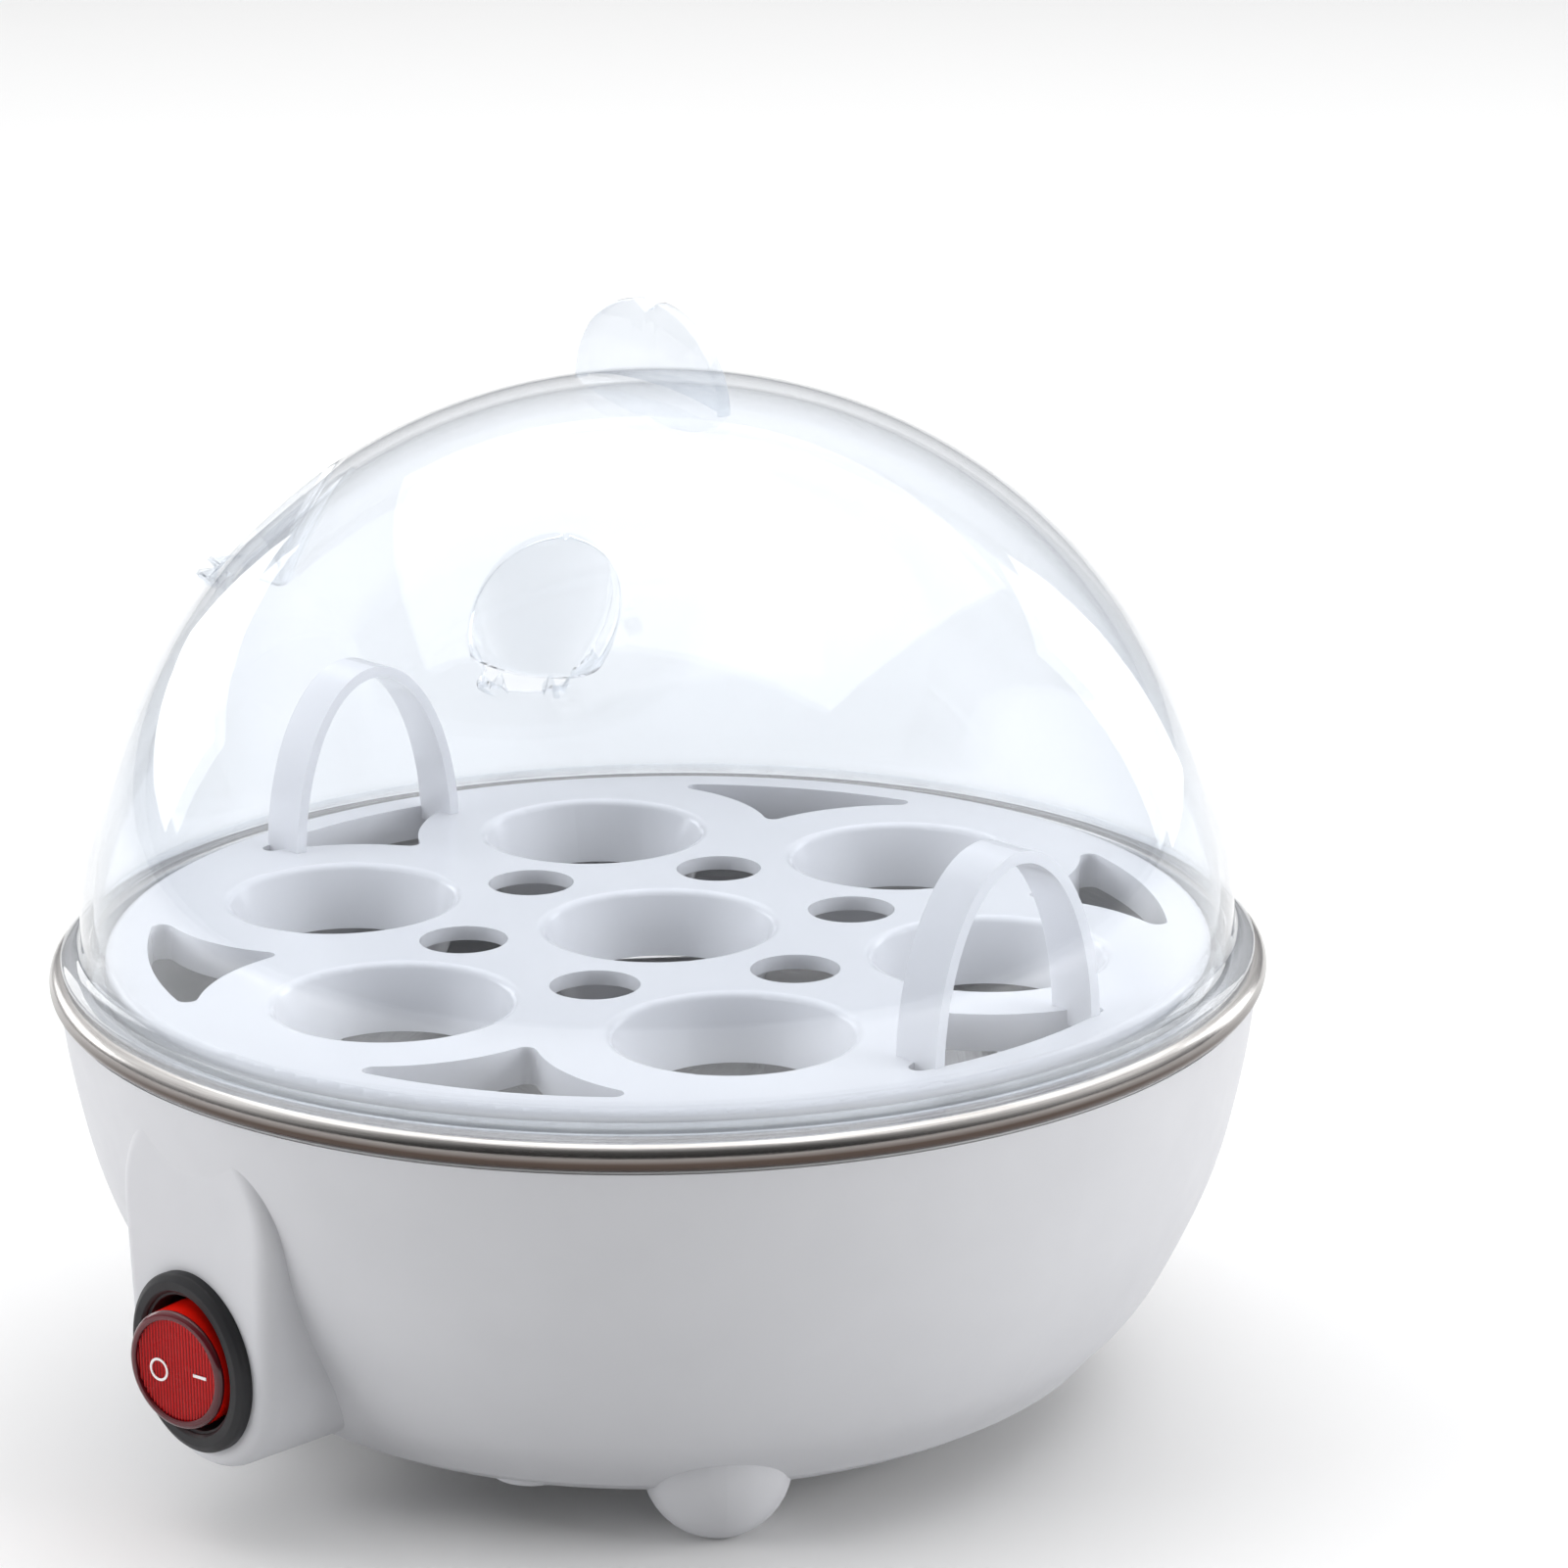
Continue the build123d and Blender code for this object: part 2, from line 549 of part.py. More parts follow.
TILTED = rocker_frame(ROCKER_TILT)
with BuildPart() as switch_rocker:
    disc(TILTED, -2, ROCKER_FACE, ROCKER_R)
    fillet(edges().filter_by(GeomType.CIRCLE).sort_by(Axis.Y)[0], 0.6)
    disc(TILTED, ROCKER_FACE - 0.4, ROCKER_FACE, ROCKER_R - 1.3, Mode.SUBTRACT)
    disc(TILTED, -2, ROCKER_FACE - 1.8, ROCKER_R - 1, Mode.SUBTRACT)
    disc(TILTED, -4, ROCKER_FACE - 1.8, 3.2)
    disc(TILTED, -4, 0.1, 2.35, Mode.SUBTRACT)
    with BuildSketch(Plane.XY.offset(SWITCH_Z + ROCKER_R - 0.9)):
        with Locations((0, PIVOT_Y)):
            Circle(1.0)
    extrude(amount=2.4)
    with BuildSketch(Plane.XY.offset(SWITCH_Z - ROCKER_R + 0.9)):
        with Locations((0, PIVOT_Y)):
            Circle(1.0)
    extrude(amount=-2.4)
save(switch_rocker, "switch_rocker")

with BuildPart() as switch_plunger:
    disc(TILTED, -7, -0.2, 1.2)
    fillet(edges().filter_by(GeomType.CIRCLE).sort_by(Axis.Y)[-1], 1.0)
    disc(TILTED, -5.2, -4.7, 2.1)
save(switch_plunger, "switch_plunger")

with BuildPart() as switch_spring:
    with BuildLine() as coil:
        Helix(pitch=0.9, height=4.1, radius=1.72, center=TILTED.offset(-4.4).origin,
              direction=TILTED.z_dir)
    with BuildSketch(Plane(origin=coil.line @ 0, z_dir=coil.line % 0)):
        Circle(0.2)
    sweep(is_frenet=True)
save(switch_spring, "switch_spring")

with BuildPart() as switch_contact:
    with BuildSketch(Plane(origin=(0, CAVITY_BACK - 1.7, SWITCH_Z), z_dir=(0, 0, 1),
                           x_dir=(cos(radians(-ROCKER_TILT / 2)),
                                  sin(radians(-ROCKER_TILT / 2)), 0))):
        Rectangle(2 * TAB_X + 0.8, 0.6)
    extrude(amount=1.8, both=True)
save(switch_contact, "switch_contact")

with BuildPart() as switch_terminals:
    with BuildSketch(BACK):
        with Locations((-TAB_X, SWITCH_Z), (0, SWITCH_Z), (TAB_X, SWITCH_Z)):
            Rectangle(0.8, 4.8)
    extrude(amount=-13)
    with BuildSketch(BACK):
        with Locations((-TAB_X, SWITCH_Z), (TAB_X, SWITCH_Z)):
            Circle(1.6)
    extrude(amount=0.4)
    with BuildSketch(BACK):
        with Locations((0, SWITCH_Z)):
            Rectangle(1.4, 3.6)
    extrude(amount=1.0)
save(switch_terminals, "switch_terminals")

LAMP = Plane(origin=(0, CAVITY_BACK - 3, SWITCH_Z - 5), x_dir=(0, 1, 0), z_dir=(1, 0, 0))
with BuildPart() as neon_lamp:
    with BuildSketch(LAMP):
        Circle(1.4)
    extrude(amount=4, both=True)
    fillet(edges().filter_by(GeomType.CIRCLE), 0.8)
    with BuildSketch(BACK):
        with Locations((-2.6, SWITCH_Z - 5), (2.6, SWITCH_Z - 5)):
            Circle(0.3)
    extrude(amount=2.4)
save(neon_lamp, "neon_lamp")


# ---- cord inlet ---------------------------------------------------------------------
INLET = Plane(origin=(0, BOSS_FACE, INLET_Z), x_dir=(-1, 0, 0), z_dir=(0, 1, 0))
with BuildPart() as cord_gland:
    disc(INLET, 0, 2, 7.6)
    disc(INLET, -4, GLAND_END - BOSS_FACE, 5.0)
    disc(INLET, -4, 0, 5.9)
    disc(INLET, -4, -WALL - 0.1, 6.8)
    disc(INLET, -4, GLAND_END - BOSS_FACE, CORD_R, Mode.SUBTRACT)
save(cord_gland, "cord_gland")

with BuildPart() as cord_clamp:
    with BuildSketch(Plane.XY.offset(CLAMP_POST_TOP)):
        with Locations((0, CLAMP_POST_Y)):
            SlotOverall(2 * CLAMP_POST_X + 5.8, 5.8)
        with Locations((-CLAMP_POST_X, CLAMP_POST_Y), (CLAMP_POST_X, CLAMP_POST_Y)):
            Circle(1.5, mode=Mode.SUBTRACT)
    extrude(amount=2)
    disc(INLET, -20, 0, CORD_R, Mode.SUBTRACT)
save(cord_clamp, "cord_clamp")

with BuildPart() as cord_clamp_screws:
    with Locations(*[Location((x, CLAMP_POST_Y, CLAMP_POST_TOP + 2), (180, 0, 0))
                     for x in (-CLAMP_POST_X, CLAMP_POST_X)]):
        add(screw(2.6, 1.6, 1.2, 9))
save(cord_clamp_screws, "cord_clamp_screws")

BLOCK_Y, BLOCK_FLOOR = 43.0, BOWL_BASE + 4
POLE_X, POLE_Z = 7.0, BLOCK_FLOOR + 4.5
with BuildPart() as terminal_block:
    with BuildSketch(Plane.XY.offset(BLOCK_FLOOR)):
        with Locations((0, BLOCK_Y + 5)):
            Rectangle(22, 10)
    extrude(amount=7)
    with BuildSketch(Plane.XY.offset(BLOCK_FLOOR + 7)):
        with Locations(*[(x, BLOCK_Y + 5) for x in (-POLE_X, 0, POLE_X)]):
            Circle(2.8)
    extrude(amount=3)
    with BuildSketch(Plane.XZ.offset(-BLOCK_Y)):
        with Locations(*[(x, POLE_Z) for x in (-POLE_X, 0, POLE_X)]):
            Circle(2.0)
    extrude(amount=-10, mode=Mode.SUBTRACT)
    with Locations(*[(x, BLOCK_Y + 5, BLOCK_FLOOR + 10) for x in (-POLE_X, 0, POLE_X)]):
        Cylinder(1.65, 5, align=DOWN, mode=Mode.SUBTRACT)
save(terminal_block, "terminal_block")

with BuildPart() as terminal_screws:
    with Locations(*[(x, BLOCK_Y + 5, BLOCK_FLOOR + 9.2) for x in (-POLE_X, 0, POLE_X)]):
        Cylinder(1.6, 2.4, align=DOWN)
        Box(4, 0.5, 0.6, align=DOWN, mode=Mode.SUBTRACT)
save(terminal_screws, "terminal_screws")


# ---- wiring -------------------------------------------------------------------------
def wire(name, *points, radius=0.8, bend=2.5):
    """Insulated wire through a list of points, with rounded bends."""
    with BuildPart() as lead:
        with BuildLine() as path:
            FilletPolyline(*points, radius=bend)
        with BuildSketch(Plane(origin=path.line @ 0, z_dir=path.line % 0)):
            Circle(radius)
        sweep()
    save(lead, name)


TAB_END = CAVITY_BACK + 13
PIN_END = LEG_END - 8
THERM_TAB_Z = SPREADER_Z - 15
wire("wire_live", (POLE_X, 46, POLE_Z), (POLE_X, 30, POLE_Z), (30, 5, POLE_Z), (30, -20, 17),
     (TAB_X, -47, SWITCH_Z), (TAB_X, TAB_END, SWITCH_Z))
wire("wire_lamp", (0.95 - POLE_X, 46, POLE_Z), (0.95 - POLE_X, 28, POLE_Z), (-28, 5, POLE_Z),
     (-28, -20, 17), (-TAB_X, -47, SWITCH_Z), (-TAB_X, TAB_END, SWITCH_Z))
wire("wire_neutral", (-0.95 - POLE_X, 46, POLE_Z), (-0.95 - POLE_X, 38, POLE_Z),
     (-12, 30, 26), (-40, 15, 27), (-42, -25, 29), (-24, -62, 35), (-LEG_X, -64, HEATER_Z),
     (-LEG_X, PIN_END, HEATER_Z))
wire("wire_switched", (0, TAB_END, SWITCH_Z), (0, -40, SWITCH_Z), (4, -20, 20), (4, 0, 20),
     (4, 0, THERM_TAB_Z))
wire("wire_fuse", (-4, 0, THERM_TAB_Z), (-4, 0, 20), (-14, -12, 21), (-20, -30, 29),
     (-20, -44, 31), (-FUSE_LEAD, -44, 31))
wire("wire_heater", (FUSE_LEAD, -44, 31), (19, -44, 31), (19, -63, 35),
     (LEG_X, -64, HEATER_Z), (LEG_X, PIN_END, HEATER_Z), bend=1.8)
wire("earth_wire", (0, 46, POLE_Z), (0, 36, POLE_Z), (0, 36, 27), (0, 51, 27), (0, 51, 36))

with BuildPart() as earth_tag:
    with BuildSketch(Plane.YZ):
        with BuildLine():
            Polyline((50.6, 36), (51.4, 36), (51.4, UNDER_PAN - 0.8), (57, UNDER_PAN - 0.8),
                     (57, UNDER_PAN), (50.6, UNDER_PAN), close=True)
        make_face()
    extrude(amount=3.15, both=True)
save(earth_tag, "earth_tag")
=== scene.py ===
"""Egg cooker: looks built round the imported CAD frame. Metres, row frame."""
from math import acos, asin, atan2, cos, degrees, hypot, pi, radians, sin, sqrt

import bmesh
import bpy
from mathutils import Matrix, Vector


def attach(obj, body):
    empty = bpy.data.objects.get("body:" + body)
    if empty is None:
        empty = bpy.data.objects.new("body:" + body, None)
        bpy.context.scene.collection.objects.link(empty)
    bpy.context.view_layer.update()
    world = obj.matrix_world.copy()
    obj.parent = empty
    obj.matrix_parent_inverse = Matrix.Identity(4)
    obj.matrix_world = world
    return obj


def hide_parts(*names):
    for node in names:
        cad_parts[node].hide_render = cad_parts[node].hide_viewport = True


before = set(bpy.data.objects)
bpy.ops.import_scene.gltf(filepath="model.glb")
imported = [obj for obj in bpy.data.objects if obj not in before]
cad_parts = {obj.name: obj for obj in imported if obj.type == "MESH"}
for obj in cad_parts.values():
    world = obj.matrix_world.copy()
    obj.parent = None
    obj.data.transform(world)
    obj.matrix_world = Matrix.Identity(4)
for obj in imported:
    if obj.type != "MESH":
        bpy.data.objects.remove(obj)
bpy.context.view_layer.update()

MM = 0.001
PAINTED_REFLECTION_Z, PAINTED_REFLECTION_R = (0.0602, 0.0618), (0.0795, 0.0805)    # metres; the rim's painted reflection, a dark brown band, fades in over these
scene = bpy.context.scene


# ---- material helpers ---------------------------------------------------------------
class Nodes:
    """A material's node tree with short ways to add nodes and links."""

    def __init__(self, name):
        self.mat = bpy.data.materials.new(name)
        self.mat.use_nodes = True
        self.tree = self.mat.node_tree
        self.tree.nodes.clear()
        self.out = self.tree.nodes.new("ShaderNodeOutputMaterial")
        self.coord = self.tree.nodes.new("ShaderNodeTexCoord")

    def add(self, kind, **values):
        node = self.tree.nodes.new("ShaderNode" + kind)
        for key, value in values.items():
            if hasattr(node, key):
                setattr(node, key, value)
            else:
                self.put(node.inputs[key.replace("_", " ")], value)
        return node

    def put(self, socket, value):
        if isinstance(value, bpy.types.NodeSocket):
            self.tree.links.new(value, socket)
        else:
            socket.default_value = value

    def math(self, op, a, b=0.0):
        node = self.tree.nodes.new("ShaderNodeMath")
        node.operation = op
        self.put(node.inputs[0], a)
        self.put(node.inputs[1], b)
        return node.outputs[0]

    def noise(self, scale, detail=4.0, rough=0.55, stretch=(1, 1, 1)):
        scaled = self.tree.nodes.new("ShaderNodeMapping")
        scaled.inputs["Scale"].default_value = stretch
        self.put(scaled.inputs["Vector"], self.coord.outputs["Object"])
        node = self.tree.nodes.new("ShaderNodeTexNoise")
        for key, value in (("Scale", scale), ("Detail", detail), ("Roughness", rough)):
            node.inputs[key].default_value = value
        self.put(node.inputs["Vector"], scaled.outputs[0])
        return node.outputs["Fac"]

    def remap(self, value, low, high, start=0.0, end=1.0):
        node = self.tree.nodes.new("ShaderNodeMapRange")
        for key, number in (("From Min", start), ("From Max", end), ("To Min", low),
                            ("To Max", high)):
            node.inputs[key].default_value = number
        self.put(node.inputs["Value"], value)
        return node.outputs["Result"]

    def blend(self, fac, a, b):
        node = self.tree.nodes.new("ShaderNodeMix")
        node.data_type = "RGBA"
        self.put(node.inputs["Factor"], fac)
        inputs = [s for s in node.inputs if s.type == "RGBA"]
        self.put(inputs[0], a)
        self.put(inputs[1], b)
        return [s for s in node.outputs if s.type == "RGBA"][0]

    def bump(self, height, strength, distance):
        node = self.tree.nodes.new("ShaderNodeBump")
        node.inputs["Strength"].default_value = strength
        node.inputs["Distance"].default_value = distance
        self.put(node.inputs["Height"], height)
        return node.outputs["Normal"]

    def finish(self, shader):
        self.put(self.out.inputs["Surface"], shader)
        return self.mat


def rgb(*values):
    return (*values, 1.0)


def moulded(name, colour, dark, rough=(0.3, 0.42), grain=900.0, depth=0.00004, coat=0.0,
            subsurface=0.0, specular=0.5):
    """Moulded plastic: a faint cloudiness, fine texture and uneven gloss."""
    n = Nodes(name)
    cloud = n.noise(35.0, 3.0)
    fine = n.noise(grain, 5.0, 0.6)
    worn = n.noise(160.0, 6.0, 0.65)
    shade = n.add("BsdfPrincipled")
    n.put(shade.inputs["Base Color"], n.blend(n.remap(cloud, 0.0, 1.0, 0.3, 0.75),
                                              rgb(*colour), rgb(*dark)))
    n.put(shade.inputs["Roughness"], n.remap(worn, rough[0], rough[1], 0.3, 0.7))
    n.put(shade.inputs["Normal"], n.bump(fine, 0.35, depth))
    shade.inputs["Coat Weight"].default_value = coat
    shade.inputs["Coat Roughness"].default_value = 0.15
    shade.inputs["Subsurface Weight"].default_value = subsurface
    shade.inputs["Subsurface Radius"].default_value = (0.0012, 0.0012, 0.0012)
    shade.inputs["Subsurface Scale"].default_value = 1.0
    shade.inputs["Specular IOR Level"].default_value = specular
    return n.finish(shade.outputs[0])


def metal(name, colour, dark, rough=(0.22, 0.36), grain=260.0, stretch=(1, 1, 1), depth=0.00003):
    """Bare metal with stains, fine grain and uneven polish."""
    n = Nodes(name)
    stain = n.noise(60.0, 5.0, 0.6)
    fine = n.noise(grain, 6.0, 0.7, stretch)
    shade = n.add("BsdfPrincipled")
    shade.inputs["Metallic"].default_value = 1.0
    n.put(shade.inputs["Base Color"], n.blend(n.remap(stain, 0.0, 1.0, 0.35, 0.7),
                                              rgb(*colour), rgb(*dark)))
    n.put(shade.inputs["Roughness"], n.remap(fine, rough[0], rough[1], 0.3, 0.7))
    n.put(shade.inputs["Normal"], n.bump(fine, 0.4, depth))
    return n.finish(shade.outputs[0])


def ring_metal(name, colour, dark, painted_reflection, rough, pitch, depth):
    """Sheet metal brushed in circles round the axis; the lower half of its rim has a painted reflection
    in dark brown.
    """
    n = Nodes(name)
    split = n.tree.nodes.new("ShaderNodeSeparateXYZ")
    n.put(split.inputs[0], n.coord.outputs["Object"])
    radius = n.math("SQRT", n.math("ADD", n.math("MULTIPLY", split.outputs[0], split.outputs[0]),
                                   n.math("MULTIPLY", split.outputs[1], split.outputs[1])))
    angle = n.math("ARCTAN2", split.outputs[1], split.outputs[0])
    place = n.tree.nodes.new("ShaderNodeCombineXYZ")
    n.put(place.inputs[0], n.math("MULTIPLY", radius, pitch))
    n.put(place.inputs[1], n.math("MULTIPLY", angle, 2.5))
    n.put(place.inputs[2], n.math("MULTIPLY", split.outputs[2], pitch))
    lines = n.tree.nodes.new("ShaderNodeTexNoise")
    for key, value in (("Scale", 1.0), ("Detail", 8.0), ("Roughness", 0.75)):
        lines.inputs[key].default_value = value
    n.put(lines.inputs["Vector"], place.outputs[0])
    stain = n.noise(45.0, 5.0, 0.6)
    shade = n.add("BsdfPrincipled")
    shade.inputs["Metallic"].default_value = 1.0
    streak = n.remap(lines.outputs["Fac"], 0.0, 1.0, 0.35, 0.65)
    brushed = n.blend(n.math("MULTIPLY", streak, n.remap(stain, 0.5, 1.0)), rgb(*colour), rgb(*dark))
    wavy = n.math("ADD", split.outputs[2], n.math("MULTIPLY", lines.outputs["Fac"], 0.0006))
    # painted reflection: mask of the rim's lower outer band, which takes the dark brown standing for
    # the shadowed floor and bowl
    low = n.math("MULTIPLY", n.remap(wavy, 1.0, 0.0, *PAINTED_REFLECTION_Z),
                 n.remap(radius, 0.0, 1.0, *PAINTED_REFLECTION_R))
    n.put(shade.inputs["Base Color"], n.blend(low, brushed, rgb(*painted_reflection)))
    n.put(shade.inputs["Roughness"], n.remap(lines.outputs["Fac"], rough[0], rough[1], 0.3, 0.7))
    n.put(shade.inputs["Normal"], n.bump(lines.outputs["Fac"], 0.5, depth))
    return n.finish(shade.outputs[0])


def clear(name, tint, haze_colour, haze=0.03, gloss=(0.015, 0.07), base_gloss=0.045):
    """Clear moulded plastic: see-through, with gloss by angle, a faint haze and fine scratches."""
    n = Nodes(name)
    fine = n.noise(240.0, 8.0, 0.7, (1, 1, 3))
    cloud = n.noise(28.0, 4.0)
    through = n.add("BsdfTransparent")
    n.put(through.inputs["Color"], n.blend(n.remap(cloud, 0.0, 1.0, 0.3, 0.7), rgb(*tint),
                                           rgb(*[min(1, t * 1.02) for t in tint])))
    milky = n.add("BsdfPrincipled")
    n.put(milky.inputs["Base Color"], n.blend(cloud, rgb(*haze_colour), rgb(0.93, 0.95, 0.97)))
    milky.inputs["Roughness"].default_value = 0.35
    edge = n.add("LayerWeight")
    edge.inputs["Blend"].default_value = 0.35
    soft = n.tree.nodes.new("ShaderNodeMixShader")
    n.put(soft.inputs[0], n.math("ADD", n.math("MULTIPLY", edge.outputs["Facing"], haze * 3),
                                 n.remap(cloud, haze * 0.6, haze * 1.4)))
    n.put(soft.inputs[1], through.outputs[0])
    n.put(soft.inputs[2], milky.outputs[0])
    mirror = n.add("BsdfAnisotropic")
    mirror.inputs["Color"].default_value = rgb(1, 1, 1)
    n.put(mirror.inputs["Roughness"], n.remap(fine, gloss[0], gloss[1], 0.35, 0.75))
    n.put(mirror.inputs["Normal"], n.bump(cloud, 0.12, 0.0006))
    facing = n.add("LayerWeight")
    facing.inputs["Blend"].default_value = 0.5
    share = n.math("MULTIPLY", n.math("POWER", facing.outputs["Facing"], 5.0), 1 - base_gloss)
    both = n.tree.nodes.new("ShaderNodeMixShader")
    n.put(both.inputs[0], n.math("ADD", share, base_gloss))
    n.put(both.inputs[1], soft.outputs[0])
    n.put(both.inputs[2], mirror.outputs[0])
    return n.finish(both.outputs[0])


def woven(name, colour, dark, scale=1400.0):
    """Woven or braided sleeve."""
    n = Nodes(name)
    wave = n.tree.nodes.new("ShaderNodeTexWave")
    wave.bands_direction = "DIAGONAL"
    for key, value in (("Scale", scale), ("Distortion", 2.0), ("Detail", 2.0)):
        wave.inputs[key].default_value = value
    n.put(wave.inputs["Vector"], n.coord.outputs["Object"])
    shade = n.add("BsdfPrincipled")
    n.put(shade.inputs["Base Color"], n.blend(wave.outputs["Fac"], rgb(*colour), rgb(*dark)))
    shade.inputs["Roughness"].default_value = 0.85
    n.put(shade.inputs["Normal"], n.bump(wave.outputs["Fac"], 0.6, 0.0002))
    return n.finish(shade.outputs[0])


def cover(obj, *materials):
    obj.data.materials.clear()
    for m in materials:
        obj.data.materials.append(m)


white = moulded("housing_white", (0.575, 0.58, 0.605), (0.54, 0.545, 0.57), (0.4, 0.52), 1100.0,
                0.00003, specular=0.35)
tray_white = moulded("tray_white", (0.86, 0.86, 0.885), (0.82, 0.82, 0.85), (0.16, 0.26), 700.0,
                     0.00002, coat=0.4, subsurface=0.25)
cover_grey = moulded("cover_grey", (0.62, 0.63, 0.645), (0.55, 0.56, 0.57), (0.5, 0.65), 800.0,
                     0.00008)
black = moulded("bezel_black", (0.014, 0.014, 0.016), (0.022, 0.022, 0.024), (0.4, 0.55), 1300.0,
                0.00005, specular=0.25)
# third colour: painted reflection, the dark brown band of shadowed floor and bowl on the rim's lower
# half
steel = ring_metal("pan_steel", (0.62, 0.605, 0.59), (0.3, 0.28, 0.27), (0.09, 0.066, 0.055),
                   (0.12, 0.3), 2400.0, 0.00003)
zinc = metal("zinc_plate", (0.62, 0.62, 0.64), (0.42, 0.43, 0.45), (0.25, 0.42))
heat_steel = metal("heat_stained_steel", (0.36, 0.31, 0.27), (0.16, 0.15, 0.17), (0.3, 0.5), 180.0)
alu = metal("rolled_aluminium", (0.74, 0.75, 0.76), (0.58, 0.59, 0.6), (0.28, 0.45), 300.0,
            (1, 12, 1))
brass = metal("stamped_brass", (0.72, 0.55, 0.27), (0.48, 0.33, 0.14), (0.2, 0.38))
tinned = metal("tinned_brass", (0.68, 0.64, 0.54), (0.5, 0.45, 0.36), (0.25, 0.4))
phenolic = moulded("phenolic", (0.03, 0.024, 0.02), (0.055, 0.045, 0.038), (0.45, 0.6), 600.0,
                   0.0001)
ceramic = moulded("ceramic", (0.72, 0.66, 0.56), (0.6, 0.54, 0.45), (0.6, 0.8), 500.0, 0.0001)
nylon = moulded("natural_nylon", (0.72, 0.71, 0.66), (0.62, 0.61, 0.56), (0.4, 0.55), 700.0,
                0.00006, subsurface=0.3)
soft_white = moulded("soft_white_rubber", (0.66, 0.67, 0.68), (0.56, 0.57, 0.58), (0.6, 0.78),
                     600.0, 0.0001)
spring_steel = metal("spring_wire", (0.5, 0.5, 0.52), (0.3, 0.3, 0.32), (0.2, 0.35), 500.0)
sleeve = woven("glass_sleeve", (0.75, 0.73, 0.66), (0.5, 0.48, 0.42))
brown = moulded("wire_brown", (0.11, 0.045, 0.02), (0.075, 0.03, 0.014), (0.35, 0.5))
blue = moulded("wire_blue", (0.02, 0.09, 0.36), (0.014, 0.06, 0.27), (0.35, 0.5))
red_wire = moulded("wire_red", (0.45, 0.03, 0.02), (0.33, 0.02, 0.015), (0.35, 0.5))
white_wire = moulded("wire_white", (0.72, 0.71, 0.68), (0.62, 0.61, 0.58), (0.45, 0.6))
green = moulded("wire_green_yellow", (0.1, 0.34, 0.03), (0.62, 0.55, 0.04), (0.35, 0.5))
lamp_glass = clear("lamp_glass", (0.95, 0.8, 0.65), (0.9, 0.6, 0.35), 0.15)
clear_lid = clear("lid_clear", (0.948, 0.960, 0.975), (0.72, 0.78, 0.86))
clear_detail = clear("lid_detail", (0.925, 0.942, 0.963), (0.66, 0.71, 0.79), 0.07)
# the scoops' clear: a darker tint and thicker milky haze, painted shade and a painted sheen that
# outline the scoops
shaded_clear_hood = clear("lid_hood_painted_shade", (0.915, 0.93, 0.95), (0.6, 0.65, 0.72), 0.16, base_gloss=0.08)
red_clear = moulded("rocker_red", (0.66, 0.006, 0.008), (0.5, 0.003, 0.004), (0.15, 0.3), 400.0,
                    0.00002, coat=0.1, specular=0.2)

LOOKS = {
    "housing": white, "egg_tray": tray_white, "heating_pan": steel, "lid": clear_lid,
    "rim_gasket": soft_white, "bottom_cover": cover_grey, "cover_screws": zinc,
    "pan_standoffs": zinc, "pan_screws": zinc, "heat_spreader": alu, "heater_tube": heat_steel,
    "heater_seals": ceramic, "heater_pins": zinc, "heater_clamp": zinc, "clamp_studs": zinc,
    "clamp_nuts": zinc, "thermostat": phenolic, "thermostat_terminals": brass,
    "thermostat_bracket": alu, "bracket_screws": zinc, "thermal_fuse": brass,
    "fuse_sleeve": sleeve, "switch_body": black, "switch_rocker": red_clear,
    "switch_plunger": nylon, "switch_spring": spring_steel, "switch_contact": brass,
    "switch_terminals": tinned, "neon_lamp": lamp_glass, "cord_gland": soft_white,
    "cord_clamp": nylon, "cord_clamp_screws": zinc, "terminal_block": nylon,
    "terminal_screws": brass, "wire_live": brown, "wire_lamp": blue, "wire_neutral": blue,
    "wire_switched": red_wire, "wire_fuse": white_wire, "wire_heater": white_wire,
    "earth_wire": green, "earth_tag": tinned,
}
for name, look in LOOKS.items():
    cover(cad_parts[name], look)
    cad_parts[name].data.set_sharp_from_angle(angle=radians(32))


# ---- mesh helpers -------------------------------------------------------------------
def mesh_object(name, points, faces, material, body, node=None, sharp=35.0, also=()):
    """Smooth-shaded object from points in millimetres, riding on a body."""
    data = bpy.data.meshes.new(name)
    data.from_pydata([(x * MM, y * MM, z * MM) for x, y, z in points], [], faces)
    return dress(name, data, material, body, node, sharp, also)


def dress(name, data, material, body, node=None, sharp=35.0, also=()):
    bm = bmesh.new()
    bm.from_mesh(data)
    bmesh.ops.remove_doubles(bm, verts=bm.verts, dist=1e-7)
    bmesh.ops.recalc_face_normals(bm, faces=bm.faces)
    bm.to_mesh(data)
    bm.free()
    obj = bpy.data.objects.new(name, data)
    scene.collection.objects.link(obj)
    cover(obj, material, *also)
    for face in data.polygons:
        face.use_smooth = True
    if sharp:
        data.set_sharp_from_angle(angle=radians(sharp))
    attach(obj, body)
    if node:
        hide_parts(node)
    return obj


def lathe(profile, turns=256, closed=True):
    """Points and faces of a profile of (radius, height) turned round the axis."""
    points, rows = [], []
    for r, z in profile:
        if r < 1e-6:
            rows.append([len(points)] * turns)
            points.append((0.0, 0.0, z))
        else:
            rows.append(list(range(len(points), len(points) + turns)))
            points += [(r * cos(2 * pi * k / turns), r * sin(2 * pi * k / turns), z)
                       for k in range(turns)]
    faces = []
    pairs = list(zip(rows, rows[1:] + rows[:1])) if closed else list(zip(rows, rows[1:]))
    for a, b in pairs:
        for k in range(turns):
            loop = [a[k], a[(k + 1) % turns], b[(k + 1) % turns], b[k]]
            loop = [v for i, v in enumerate(loop) if v != loop[i - 1]]
            if len(loop) > 2:
                faces.append(loop)
    return points, faces


